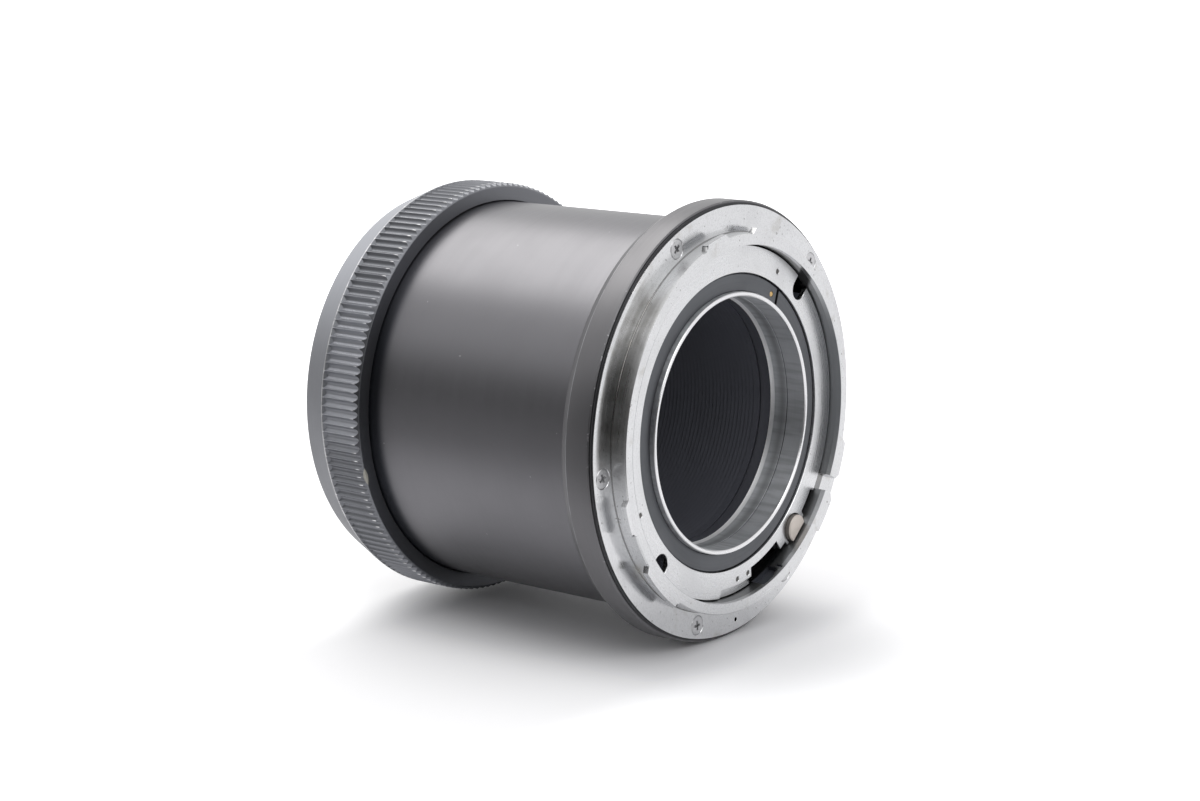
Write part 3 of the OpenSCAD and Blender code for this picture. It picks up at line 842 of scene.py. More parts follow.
def specks(finish, scale, low, high, colour, share):
    """Small scattered spots, such as dust and pits."""
    finish.tint(finish.ramp(finish.noise(scale, 1.0), low, high, 0.0, share), colour)


def barrel_finish(colour):
    """Dark anodising of the barrel, with painted shade close to the lock ring."""
    finish = Finish("barrel_anodising", colour, 1.0, 0.33)
    turned_finish(finish, 0.16, 0.05, 1.0, 0.2)
    specks(finish, 0.8, 0.8, 0.83, (0.5, 0.5, 0.5), 0.4)
    # Painted shade: the lock ring's shadow and the dark reflection of its front face, weaker
    # towards the top.
    painted_ring_shade = finish.times(
        finish.ramp(finish.x, RING_FRONT + 1.8, RING_FRONT + 4.6, 0.85, 0.0),
        finish.ramp(finish.sin, 0.9, 0.3, 0.3, 1.0))
    finish.tint(painted_ring_shade, (0.05, 0.054, 0.066))
    return finish.done()


def flange_finish(colour):
    """Black anodising of the front flange, worn along its two edges."""
    finish = Finish("flange_anodising", colour, 1.0, 0.36)
    turned_finish(finish, 0.14, 0.06, 1.0, 0.3)
    worn = finish.noise(0.35, 4.0)
    chips = finish.noise(1.1, 4.0)
    back_edge = finish.times(
        finish.band(finish.x, FLANGE_BACK + FLANGE_CHAMFER, 0.16),
        finish.ramp(worn, 0.3, 0.7, 0.15, 0.9))
    finish.tint(back_edge, (0.36, 0.365, 0.38))
    front_edge = finish.times(
        finish.band(finish.x, FLANGE_FRONT - 0.15, 0.3),
        finish.ramp(chips, 0.62, 0.7, 0.0, 0.7))
    finish.tint(front_edge, (0.5, 0.5, 0.52))
    return finish.done()


def ring_finish(colour):
    """Anodising of the lock ring, worn on the knurls with painted glints, painted lighter and
    darker by height, and black in front.
    """
    finish = Finish("ring_anodising", colour, 1.0, 0.4)
    turned_finish(finish, 0.14, 0.06, 1.0, 0.3)
    # Painted light: lighter towards the top. The knurled band is repainted just below, so this
    # stays on the rear band.
    finish.tint(finish.ramp(finish.sin, 0.2, 0.75), finish.base(2.1))
    knurled = finish.ramp(finish.x, KNURL_BACK + 0.02, KNURL_BACK + 0.2)
    finish.tint(knurled, finish.base(1.1))
    # Painted light: the knurls lighter in a band round the sides, at and a little above the
    # axis's level.
    level = finish.times(
        finish.ramp(finish.sin, -0.25, -0.02), finish.ramp(finish.sin, 0.7, 0.35))
    finish.tint(finish.times(knurled, level), finish.base(1.8))
    worn = finish.noise(0.5, 4.0)
    crest = finish.ramp(finish.r, RING_CREST - 0.16, RING_CREST - 0.03)
    # Crest ends, worn bright, with painted glints on them.
    ends = finish.maths(
        "ADD", finish.ramp(finish.x, RING_FRONT - 2.2, RING_FRONT - 1.2),
        finish.band(finish.x, KNURL_BACK + 0.1, 0.45))
    ends = finish.times(ends, finish.ramp(worn, 0.35, 0.65, 0.45, 1.0), crest)
    finish.tint(ends, (0.85, 0.85, 0.86))
    finish.roughen(ends, -0.12)
    # Painted shade on the front chamfer, in a band round the sides.
    corner = RING_FRONT + RING_CREST - RING_CHAMFER
    chamfer = finish.ramp(finish.maths("ADD", finish.x, finish.r), corner - 0.1, corner - 0.03)
    level = finish.times(
        finish.ramp(finish.sin, -0.25, -0.1), finish.ramp(finish.sin, 0.6, 0.45))
    finish.tint(finish.times(chamfer, level), finish.base(0.55))
    front = finish.ramp(finish.x, RING_FRONT - 0.12, RING_FRONT - 0.06)
    finish.tint(front, finish.base(0.9))
    return finish.done()


def chrome_finish(name, colour, roughness, pits=0.55):
    """Turned chrome or steel with grain, scratches and pits, not done yet."""
    finish = Finish(name, colour, 1.0, roughness)
    turned_finish(finish, 0.2, 0.08, 0.5)
    grain = finish.noise(2.6, 3.0)
    finish.tint(finish.ramp(grain, 0.42, 0.68, 0.0, 0.55), finish.base(0.82))
    scratches = finish.noise(0.5, 2.0, (1.0, 9.0, 0.6))
    finish.tint(finish.ramp(scratches, 0.66, 0.7, 0.0, 0.3), finish.base(0.7))
    specks(finish, 1.3, 0.72, 0.77, (0.16, 0.15, 0.14), pits)
    return finish


def mount_finish(colour):
    """Chrome of the mounts, dull in the front bore, with painted shade at the collar's root, on
    a lug's end, in the small hole, on the bore and in its pocket, and a smudged, painted dark
    reflection beside the collar.
    """
    finish = chrome_finish("mount_plating", colour, 0.13)
    ramp, times, sector = finish.ramp, finish.times, finish.sector
    x, r = finish.x, finish.r
    # Painted shade at the collar's root. The same mask also darkens the chrome that lies further
    # back or nearer the axis.
    root = finish.maths("SUBTRACT", finish.maths("ADD", x, r), BASE_FACE + COLLAR)
    finish.tint(ramp(root, 0.24, 0.14, 0.0, 0.75), (0.1, 0.1, 0.1))
    wall = times(
        ramp(x, BASE_FACE + 0.05, BASE_FACE + 0.15), ramp(r, COLLAR + 0.12, COLLAR + 0.05))
    finish.roughen(wall, 0.12)
    # Smudges and a painted dark reflection on the base ring and collar, between 137 and 173
    # degrees.
    smudge_and_painted_reflection = times(
        sector(137, 173, 13.0), ramp(r, COLLAR - 0.2, COLLAR - 0.05),
        ramp(finish.noise(0.3, 3.0), 0.3, 0.7, 0.38, 0.68),
        ramp(r, BASE_RING - 0.7, BASE_RING - 1.3),
        ramp(finish.lines(1.6, 0.3), 0.35, 0.65, 0.7, 1.0))
    finish.tint(smudge_and_painted_reflection, (0.2, 0.192, 0.178))
    # Painted shade on one lug's end face.
    painted_lug_end_shade = times(
        sector(LUG_TIPS[2][1] - 0.3, LUGS[2][1] + 0.6, 0.4),
        ramp(x, LUG_BACK - 0.2, LUG_BACK - 0.1),
        ramp(x, FRONT_SEAT - 0.1, FRONT_SEAT - 0.2, 0.0, 0.85))
    finish.tint(painted_lug_end_shade, (0.26, 0.262, 0.268))
    grime = finish.noise(0.2, 4.0)
    finish.tint(ramp(grime, 0.58, 0.75, 0.0, 0.4), (0.42, 0.4, 0.36))
    # Painted shade in the small hole.
    hole = times(
        sector(MOUNT_HOLE - 0.9, MOUNT_HOLE + 0.9, 0.2), finish.band(r, MOUNT_HOLE_PITCH, 1.0),
        ramp(x, BASE_FACE - 0.05, BASE_FACE - 0.1))
    finish.tint(hole, (0.02, 0.02, 0.02))
    # The bore is duller, and greyed by painted shade: most at the sides, less at the bottom and
    # least at the top. The mask also reaches the chrome nearer the axis.
    bore = times(
        ramp(r, COLLAR_BORE + 0.12, COLLAR_BORE + 0.06),
        ramp(finish.sin, 0.85, 0.35, 0.1, 0.95), ramp(finish.sin, -0.6, -0.1, 0.45, 1.0))
    finish.tint(bore, (0.3, 0.31, 0.325))
    finish.roughen(bore, 0.3)
    # Painted shade on the bore beside the pocket.
    shade = times(
        sector(COLLAR_POCKET[0] - 1, POCKET_END + 2, 8.0), ramp(x, POCKET_TOP, PLATE_FACE), bore)
    finish.tint(shade, (0.13, 0.135, 0.145))
    # Painted shade, dark, inside the pocket, its end and its slit, which are rougher too.
    deep = times(
        ramp(r, COLLAR_BORE + 0.1, COLLAR_BORE + 0.2),
        ramp(r, POCKET_FLOOR + 0.1, POCKET_FLOOR + 0.05))
    hole = times(sector(*COLLAR_POCKET, 0.3), ramp(x, POCKET_TOP + 0.1, POCKET_TOP))
    for start, stop, level in (
            (COLLAR_POCKET[1], POCKET_END, POCKET_STEP - 0.05), (*POCKET_SLIT, POCKET_TOP)):
        part = times(sector(start, stop, 0.3), ramp(x, level + 0.1, level))
        hole = finish.maths("MAXIMUM", hole, part)
    inside = times(deep, hole)
    finish.tint(inside, (0.14, 0.148, 0.17))
    finish.roughen(inside, 0.4)
    return finish.done()


def sleeve_finish(colour):
    """Turned metal of the sleeve, streaked inside and polished on its rim, with painted shade
    inside and in its groove, and a painted highlight on its rear bevel.
    """
    finish = Finish("sleeve_metal", colour, 1.0, 0.46)
    turned_finish(finish, 0.25, 0.1, 1.0)
    streaks = finish.noise(0.7, 4.0, (0.1, 1.0, 1.0))
    finish.tint(finish.ramp(streaks, 0.4, 0.7, 0.0, 0.6), finish.base(0.6))
    rim = finish.ramp(finish.x, SLEEVE_RIM - 0.4, SLEEVE_RIM - 0.2)
    finish.tint(rim, (0.82, 0.82, 0.83))
    finish.roughen(rim, -0.25)
    # Painted shade in a band centred a little behind the groove.
    shade = finish.band(finish.x, SLEEVE_GROOVE - 1.2, 1.6)
    finish.tint(finish.times(shade, 0.6), finish.base(0.4))
    # Painted highlight on the rear bevel.
    bevel = SLEEVE_BACK + SLEEVE_BEVEL
    finish.tint(finish.ramp(finish.x, bevel + 0.15, bevel - 0.1), (0.9, 0.9, 0.91))
    # Painted shade in the groove.
    groove = finish.times(
        finish.ramp(finish.r, THROAT + 0.03, THROAT + 0.1),
        finish.band(finish.x, SLEEVE_GROOVE, 0.3))
    finish.tint(groove, (0.1, 0.1, 0.11))
    finish.brush_across(0.8)
    return finish.done()


def cover_finish(colour):
    """Dark grey of the cover ring, with black painted shade on the floor of its slit and on all
    that lies deeper.
    """
    finish = Finish("cover", colour, 1.0, 0.4)
    turned_finish(finish, 0.3, 0.08, 1.5)
    # Painted shade: black more than 0.3 mm below the ring's face.
    deep = finish.ramp(finish.x, COVER_FACE - 0.35, COVER_FACE - 0.3, 1.0, 0.0)
    finish.tint(deep, (0.01, 0.01, 0.011))
    finish.roughen(deep, 0.3)
    return finish.done()


def dull_finish(name, colour, roughness, metallic=0.0):
    """Turned material that has only its lines and patches."""
    finish = Finish(name, colour, metallic, roughness)
    turned_finish(finish, 0.3, 0.08, 1.5)
    return finish.done()


def ivory_finish(name, colour, metallic, roughness):
    """Pale, grained material. Painted shade darkens the stud's side."""
    finish = Finish(name, colour, metallic, roughness)
    grain = finish.noise(1.2, 4.0, (1.0, 0.35, 0.35))
    finish.tint(finish.ramp(grain, 0.4, 0.7, 0.0, 0.5), finish.base(0.72))
    # Painted shade on the stud's side wall.
    side = finish.times(
        finish.ramp(finish.x, STUD_FACE - 0.35, STUD_FACE - 0.2, 0.8, 0.0),
        finish.ramp(finish.x, STUD_BACK - 5, STUD_BACK - 4))
    finish.tint(side, (0.06, 0.055, 0.05))
    finish.roughen(grain, 0.15)
    finish.raise_by(grain, 3.0)
    return finish.done()


def finish_for(name):
    """The material of one of the finishes, made when first asked for."""
    known = bpy.data.materials.get(name + "_finish")
    if known:
        return known
    colours = bpy.context.scene.tube_colours
    makers = {
        "barrel_anodised": lambda: barrel_finish(colours.barrel),
        "flange_black": lambda: flange_finish(colours.flange),
        "ring_black": lambda: ring_finish(colours.ring),
        "mount_chrome": lambda: mount_finish(colours.chrome),
        "plate_chrome": lambda: chrome_finish("plate_plating", colours.chrome, 0.24, 0.4).done(),
        "steel": lambda: chrome_finish("steel", (0.6, 0.6, 0.61), 0.26).done(),
        "sleeve_silver": lambda: sleeve_finish(colours.sleeve),
        "matt_black": lambda: dull_finish("matt", (0.066, 0.069, 0.085), 0.55),
        "cover_grey": lambda: cover_finish((0.125, 0.13, 0.14)),
        "brass": lambda: dull_finish("brass", (0.62, 0.42, 0.18), 0.3, 1.0),
        "stud_ivory": lambda: ivory_finish("stud", colours.ivory, 0.2, 0.4),
        "mark_ivory": lambda: ivory_finish("mark", colours.mark, 0.0, 0.5),
        "shim_grey": lambda: dull_finish("shim", (0.07, 0.07, 0.074), 0.45, 1.0),
        "rivet_grey": lambda: dull_finish("rivet", (0.13, 0.125, 0.12), 0.4, 1.0),
    }
    material = makers[name]()
    material.name = name + "_finish"
    return material


# ---------------------------------------------------------------- pieces

def screw_unit(name, head, shaft, length, steps=48):
    """A countersunk screw with a cross recess, its face at 0 looking along +X."""
    edge = head * 0.09
    depth = head - shaft + HEAD_RIM
    profile = [
        (0.0, 0.0), (0.0, head - edge), (-edge, head), (-HEAD_RIM, head), (-depth, shaft),
        (-length, shaft), (-length, 0.0),
    ]
    screw = turned(name, profile, steps)
    arm, reach, deep = head * 0.14, head * 0.5, head * 0.36
    cross = [
        (reach, -arm), (reach, arm), (arm, arm), (arm, reach), (-arm, reach), (-arm, arm),
        (-reach, arm), (-reach, -arm), (-arm, -arm), (-arm, -reach), (arm, -reach), (arm, -arm),
    ]
    levels = [(-deep, 0.62), (0.0, 1.0), (0.3, 1.1)]
    outlines = [[(x * MM, y * k * MM, z * k * MM) for y, z in cross] for x, k in levels]
    return cut_away(screw, [lofted(name + "_cross", outlines)])


def hole_cutter(name, angle, pitch, level, inwards, sections, steps=48):
    """A round cutter: (depth, radius) sections, depth counted into the material."""
    return lofted(name, [
        circle(angle, pitch, radius, level + inwards * depth, steps)
        for depth, radius in sections
    ])


def countersink_cutters(name, angles, pitch, level, inwards, head, shaft, length):
    """Cutters for countersunk holes, each with a hair of flare at the face."""
    flare = 0.08
    sections = [
        (-0.5, head + SLIP + flare + 0.5), (0.0, head + SLIP + flare), (flare, head + SLIP),
        (HEAD_RIM, head + SLIP), (head - shaft + HEAD_RIM, shaft + SLIP), (length, shaft + SLIP),
    ]
    return [
        hole_cutter(f"{name}_{i}", a, pitch, level, inwards, sections)
        for i, a in enumerate(angles)
    ]


def arc_outline(pitch, half, angles, level, turns=24, ends=10):
    """Outline of an arc-shaped slot with round ends, at a level."""
    first, last = angles
    return [
        *(round_point(a, level, pitch + half) for a in spread(first, last, turns)),
        *arc(last, pitch, half, level, spread(0.0, math.pi, ends)[1:-1]),
        *(round_point(a, level, pitch - half) for a in spread(last, first, turns)),
        *arc(first, pitch, half, level, spread(math.pi, 2 * math.pi, ends)[1:-1]),
    ]


def arc_cutter(name, pitch, width, angles, face, outwards, depth):
    """A slot cutter with a flared mouth. outwards is +1 or -1, away from the metal."""
    flare = 0.1
    levels = [
        (face + outwards * 0.5, width / 2 + flare + 0.5), (face, width / 2 + flare),
        (face - outwards * flare, width / 2), (face - outwards * depth, width / 2),
    ]
    return lofted(name, [arc_outline(pitch, half, angles, x) for x, half in levels])


def box_cutter(name, angle, near, far, half, back, front):
    """A straight-sided cutter at an angle, from one radius to another."""
    corners = [(near, -half), (far, -half), (far, half), (near, half)]
    return lofted(name, [
        [local_point(angle, 0.0, u, v, x) for u, v in corners] for x in (back, front)
    ])


def ring_sector(name, inner, outer, angles, back, front, steps=16):
    """A solid that is a part of a ring, also used as a cutter."""
    section = ((back, inner), (back, outer), (front, outer), (front, inner))
    return lofted(name, [
        [round_point(a, x, r) for x, r in section] for a in spread(*angles, steps)
    ])


def below_half_turn(angle):
    """The same direction, as an angle under 180."""
    return angle if angle < 180 else angle - 360


def mount_rows(count):
    """Sections of the front mount, with its lugs, before anything is cut."""
    slot_half = 2.6
    special = [a for pair in LUGS + LUG_TIPS for a in pair]
    special += [COLLAR_SLOT - slot_half, COLLAR_SLOT + slot_half]
    special += [*COLLAR_POCKET, POCKET_END, *POCKET_SLIT]
    even = [(a, None) for a in stations(count, special, 0.6)]
    ends = []
    for root, tip in zip(LUGS, LUG_TIPS):
        ends += [(root[0], (tip[0], False)), (root[1], (tip[1], True))]
    rows = []
    for angle, end in sorted(even + ends, key=lambda e: below_half_turn(e[0])):
        turn = below_half_turn(angle)
        on_lug = any(
            root[0] < a < root[1] for root in LUGS for a in (angle, angle + 360, angle - 360))
        if end is None:
            rows.append(mount_section(turn, turn, on_lug))
        else:
            tip = below_half_turn(end[0])
            pair = [mount_section(turn, turn, False), mount_section(turn, tip, True)]
            rows += pair[::-1] if end[1] else pair
    return rows


def mount_section(angle, tip_angle, on_lug):
    """One section of the front mount. The lug's tip has its own angle."""
    body = [
        (BASE_BACK, COLLAR_BORE), (BASE_BACK, POCKET - RUNNING_GAP),
        (BASE_LIP, POCKET - RUNNING_GAP), (BASE_LIP, BASE_RING), (BASE_FACE, BASE_RING),
        (BASE_FACE, COLLAR + ROOT_FILLET), (BASE_FACE + ROOT_FILLET, COLLAR),
        (LUG_BACK, COLLAR),
    ]
    section = [(angle, x, r) for x, r in body]
    section.append((tip_angle, LUG_BACK, LUG) if on_lug else (
        tip_angle, FRONT_SEAT - RIM_CHAMFER, COLLAR))
    section.append((tip_angle, FRONT_SEAT, LUG if on_lug else COLLAR_RIM))
    section += [(angle, FRONT_SEAT, COLLAR_RIM), (angle, FRONT_SEAT, COLLAR_BORE)]
    return section


def build_front_mount(sizes, screws):
    """Chromed base ring and collar with its lugs, slot, pocket and screw holes."""
    inside, outside = 37.0, 44.0
    mount = swept("front_mount", mount_rows(sizes.steps))
    pocket = (
        (COLLAR_POCKET[0], inside), (COLLAR_POCKET[0], POCKET_FLOOR),
        (COLLAR_POCKET[1], POCKET_FLOOR), (POCKET_END, COLLAR_BORE), (POCKET_END, inside))
    cut_away(mount, [
        box_cutter(
            "slot", COLLAR_SLOT, inside - 1, outside, SLOT_HALF, SLOT_FLOOR, FRONT_SEAT + 1),
        lofted("pocket", [
            [round_point(a, x, r) for a, r in pocket] for x in (PLATE_BACK, POCKET_TOP)]),
        ring_sector(
            "pocket_end", inside, POCKET_FLOOR, (COLLAR_POCKET[0] + 1, POCKET_END),
            PLATE_BACK, POCKET_STEP),
        ring_sector(
            "pocket_slit", inside, COLLAR_BORE + 0.5, POCKET_SLIT, PLATE_FACE + 0.5, POCKET_TOP),
    ])
    break_edges(mount, sizes.fine_edge)
    holes = countersink_cutters(
        "sink", MOUNT_SCREWS, MOUNT_SCREW_PITCH, BASE_FACE, -1, screws.mount_head, *MOUNT_SHAFT)
    small = [(-0.5, 1.0), (0.0, 0.5), (0.05, 0.45), (1.2, 0.45)]
    holes.append(hole_cutter("small", MOUNT_HOLE, MOUNT_HOLE_PITCH, BASE_FACE, -1, small))
    cut_away(mount, holes)
    finished(mount.data, 9.0)
    return mount


def plate_outline():
    """Outline of the cocking plate: its steps, notches and the stud's recess."""
    def depth(angle):
        for start, stop, cut in PLATE_STEPS:
            if start < angle < stop:
                return cut
        return 0.0

    gaps = [(a, NOTCH_PITCH, NOTCH_RADIUS) for a in NOTCHES]
    gaps.append((STUD_ANGLE, STUD_PITCH, STUD_RECESS))
    marks = sorted({a for step in PLATE_STEPS for a in step[:2]})
    step, near, after_gap = 1.0, 1.5, 0.3
    rounding, wide, narrow = 6, 0.5, 0.3
    angle = -100.0
    last = angle + 360.0
    outline = []
    while angle < last:
        gap = next((g for g in gaps if abs(angle - g[0]) < gap_half(g, depth)), None)
        if gap:
            outline += notch_points(gap, depth)
            angle = gap[0] + gap_half(gap, depth) + after_gap
            continue
        mark = next((m for m in marks if angle < m <= angle + near), None)
        if mark is None:
            outline.append(flat_point(angle, PLATE - depth(angle)))
            angle += step
            continue
        reach = wide if mark == marks[0] else narrow
        before, after = depth(mark - 0.01), depth(mark + 0.01)
        for share in spread(0.0, 1.0, rounding):
            cut = before + (after - before) * share * share * (3 - 2 * share)
            outline.append(flat_point(mark + reach * (2 * share - 1), PLATE - cut))
        angle = mark + reach + step / 2
    return outline


def flat_point(angle, radius):
    """A point of an outline, as (y, z)."""
    turn = math.radians(angle)
    return (radius * math.cos(turn), radius * math.sin(turn))


def gap_half(gap, depth):
    """Half the angle that a notch takes out of the plate's edge."""
    rim = PLATE - depth(gap[0])
    return math.degrees(math.asin(gap[2] / rim))


def notch_points(gap, depth, steps=18):
    """A notch with a round end, open to the outside."""
    angle, pitch, radius = gap
    corners = []
    for side in (-1, 1):
        rim = PLATE - depth(angle + side * (gap_half(gap, depth) + 0.2))
        out = math.sqrt(rim ** 2 - radius ** 2)
        corners.append(local_point(angle, 0.0, out, side * radius, 0.0))
    end = arc(angle, pitch, radius, 0.0, spread(-math.pi / 2, -3 * math.pi / 2, steps))
    return flat_points([corners[0], *end, corners[1]])


def build_cocking_plate(sizes):
    """Chromed plate with two notches and a stepped edge."""
    outlines = [plate_outline()]
    outlines.append([flat_point(360 * i / sizes.steps, PLATE_INNER) for i in range(sizes.steps)])
    hole = RIVET_RADIUS + 0.06
    outlines += [flat_points(circle(a, RIVET_PITCH, hole, 0.0, 24)) for a in RIVETS]
    return sheet_metal("cocking_plate_face", outlines, PLATE_BACK, PLATE_FACE, sizes.fine_edge)


def knurl_section(knurls):
    """One knurl's share of the lock ring: a narrow ridge between two half grooves."""
    half = 180 / knurls.count
    rows = []
    places = (knurls.land, 0.25, 0.5, 0.75, 1.0)
    for side in (*(-place for place in reversed(places)), *places):
        angle = half * side
        fall = 0.0 if abs(side) == knurls.land else knurls.depth * (1 - (1 - abs(side)) ** 2)
        rows.append([round_point(angle, x, r) for x, r in (
            (RING_BACK, RING_BORE), (RING_BACK, RING_BACK_R - 0.25),
            (RING_BACK + 0.3, RING_BACK_R + 0.1),
            (KNURL_BACK, RING_CREST), (KNURL_BACK + max(fall, 0.02), RING_CREST - fall),
            (RING_FRONT - RING_CHAMFER + fall, RING_CREST - fall),
            (RING_FRONT, RING_CREST - RING_CHAMFER), (RING_FRONT, BARREL + 0.3),
            (RING_FRONT - RING_LIP, BARREL + 0.3), (RING_FRONT - RING_LIP, RING_CHAMBER),
            (CHAMBER_BACK, RING_CHAMBER), (CHAMBER_BACK, RING_BORE),
        )])
    points, faces = skin(rows)
    mesh = bpy.data.meshes.new("knurl")
    mesh.from_pydata(points, [], faces)
    return mesh


def build_lock_ring(knurls, finish):
    """Knurled ring: the knurls run out into the tapered rear band."""
    ring = add_object("lock_ring_knurled", knurl_section(knurls))
    tree, keys = ring_tree()
    run_tree(ring, tree, keys, {"count": knurls.count, "material": finish_for(finish)})
    bpy.data.node_groups.remove(tree)
    finished(ring.data)
    radius, steps, inside, outside = 1.0 + SLIP, 32, 41.0, 48.0
    level = (SHOULDER_BACK + SHOULDER_FRONT) / 2
    turns = spread(0.0, 2 * math.pi, steps)[:-1]
    cut_away(ring, [lofted("stop_bore", [
        [local_point(
            STOP_SCREW, 0.0, out, radius * math.cos(t), level + radius * math.sin(t))
         for t in turns] for out in (inside, outside)
    ])])
    finished(ring.data, 21.0)
    return ring


def build_mark(steps=24):
    """Index mark: a slim leaf of paint over the corner of the lock ring's front face."""
    length, width, lift, root, mitre = 3.9, 1.1, 0.025, 0.1, 0.41
    corner = RING_CREST - RING_CHAMFER
    slope = math.sqrt(0.5)
    outlines = []
    for along in spread(-1.0, 1.0, steps):
        angle = MARK_ANGLE + math.degrees(along * length / 2 / corner)
        half = max(width / 2 * (1 - along ** 2), 0.02)
        section = (
            (-(half + root) * slope, (half - root) * slope),
            ((lift - half) * slope, (lift + half) * slope),
            (lift, lift * mitre), (lift, -half), (-root, -half),
        )
        outlines.append([round_point(angle, RING_FRONT + x, corner + r) for x, r in section])
    return lofted("index_mark_ivory", outlines)


def build_claw_ring(sizes):
    """Steel ring with three claws."""
    ends = [a for start in CLAWS for a in (start, start + CLAW_SPAN)]
    even = [(a % 360, None) for a in stations(sizes.steps, ends, 0.6)]
    edges = [(a % 360, i % 2 == 0) for i, a in enumerate(ends)]
    rows = []

    def section(angle, on_claw):
        inner = CLAW if on_claw else CLAW_RING
        return [
            (angle, RING_BACK + 0.15, RING_BORE), (angle, CLAW_RING_FRONT, RING_BORE),
            (angle, CLAW_RING_FRONT, CLAW_RING), (angle, CLAW_FRONT, CLAW_RING),
            (angle, CLAW_FRONT, inner), (angle, RING_BACK + 0.15, inner),
        ]

    for angle, opens in sorted(even + edges, key=lambda e: e[0]):
        if opens is None:
            rows.append(section(angle, any(s < angle < s + CLAW_SPAN for s in CLAWS)))
        else:
            rows += [section(angle, not opens), section(angle, opens)]
    return break_edges(swept("claw_ring_steel", rows), sizes.fine_edge)


def build_rear_plate(sizes, screws):
    """Rear mount plate with its seat, spigot, slots and screw holes."""
    profile = eased([
        (SPIGOT_BACK, TUNNEL + SLIP, 0.1), (SPIGOT_BACK, SPIGOT, 0.25), (0.0, SPIGOT, 0.0),
        (0.0, SEAT), (SEAT_STEP, SEAT, 0.0), (SEAT_STEP, SEAT_PLATE),
        (BARREL_BACK, SEAT_PLATE, 0.0), (BARREL_BACK, TUNNEL + SLIP, 0.0),
    ], sizes.edge)
    plate = turned("rear_plate_face", profile, sizes.steps)
    width, depth, slack = 4.0, 6.0, 0.3
    cutters = []
    for i, start in enumerate((*NOTCHES, STUD_ANGLE)):
        span = (start - slack, start + COCKING_TURN + slack)
        cutters.append(arc_cutter(f"slot_{i}", PIN_PITCH, width, span, SPIGOT_BACK, -1, depth))
    cutters += countersink_cutters(
        "rear_sink", REAR_SCREWS, REAR_SCREW_PITCH, 0.0, 1, screws.rear_head, *REAR_SHAFT)
    return cut_away(plate, cutters)


def build_stud():
    """Release stud: a round head with a flat towards the collar."""
    flat, radius, steps, edge = 1.15, 3.0, 64, 0.22
    flat_half = math.acos(flat / radius)
    turns = spread(flat_half, 2 * math.pi - flat_half, steps)
    outline = flat_points(arc(STUD_ANGLE, STUD_PITCH, radius, 0.0, turns))
    return sheet_metal("release_stud_head", [outline], STUD_BACK, STUD_FACE, edge)


def build_spring():
    """Return spring: a round wire wound on the rod."""
    wire, coil = 0.3, 2.15
    turns, per_turn, sides = 7, 28, 10
    length = SPRING_LENGTH - 2 * wire
    rows = []
    for i in range(turns * per_turn + 1):
        a = 2 * math.pi * i / per_turn
        x = SPRING_SEAT - length - wire + length * i / (turns * per_turn)
        ring = []
        for j in range(sides):
            b = 2 * math.pi * j / sides
            r = coil + wire * math.cos(b)
            ring.append(local_point(
                STUD_ANGLE, PIN_PITCH, r * math.cos(a), r * math.sin(a), x + wire * math.sin(b)))
        rows.append(ring)
    return lofted("release_spring_wire", rows)


# ---------------------------------------------------------------- operators

class TUBE_OT_stage(Operator):
    """Sets up the camera, the white floor, the lamps and the surrounding light"""
    bl_idname = "tube.stage"
    bl_label = "Stage"

    def execute(self, context):
        settings = context.scene.tube_stage
        add_camera(context)
        add_floor()
        add_surroundings(context, settings)
        add_lamp(
            "key_lamp", place=(-0.55, 0.12, 0.95), width=0.9, height=0.7,
            power=settings.key_power, colour=(1.0, 0.985, 0.95))
        add_lamp(
            "fill_lamp", place=(0.95, -0.25, 0.6), width=0.7, height=0.7,
            power=settings.fill_power, colour=(1.0, 1.0, 1.0))
        context.scene.view_settings.view_transform = "Standard"
        return {"FINISHED"}


def add_camera(context):
    """Camera at the photograph's viewpoint."""
    data = bpy.data.cameras.new("camera")
    data.lens = CAMERA_LENS
    data.sensor_width = CAMERA_SENSOR
    camera = bpy.data.objects.new("camera", data)
    context.scene.collection.objects.link(camera)
    right, up = Vector(CAMERA_RIGHT), Vector(CAMERA_UP)
    pose = Matrix((right, up, right.cross(up))).transposed().to_4x4()
    pose.translation = CAMERA_PLACE
    camera.matrix_world = pose
    context.scene.camera = camera


def backdrop_share(tree):
    """1 for rays that should see the white backdrop: camera, glossy and transmission."""
    path = tree.nodes.new("ShaderNodeLightPath")
    share = node_maths(
        tree, "MAXIMUM", path.outputs["Is Camera Ray"], path.outputs["Is Glossy Ray"])
    return path, node_maths(tree, "MAXIMUM", share, path.outputs["Is Transmission Ray"])


def place_parts(tree, kind):
    """The three parts of a texture coordinate."""
    place = tree.nodes.new("ShaderNodeTexCoord")
    parts = tree.nodes.new("ShaderNodeSeparateXYZ")
    tree.links.new(place.outputs[kind], parts.inputs[0])
    return parts.outputs[:]


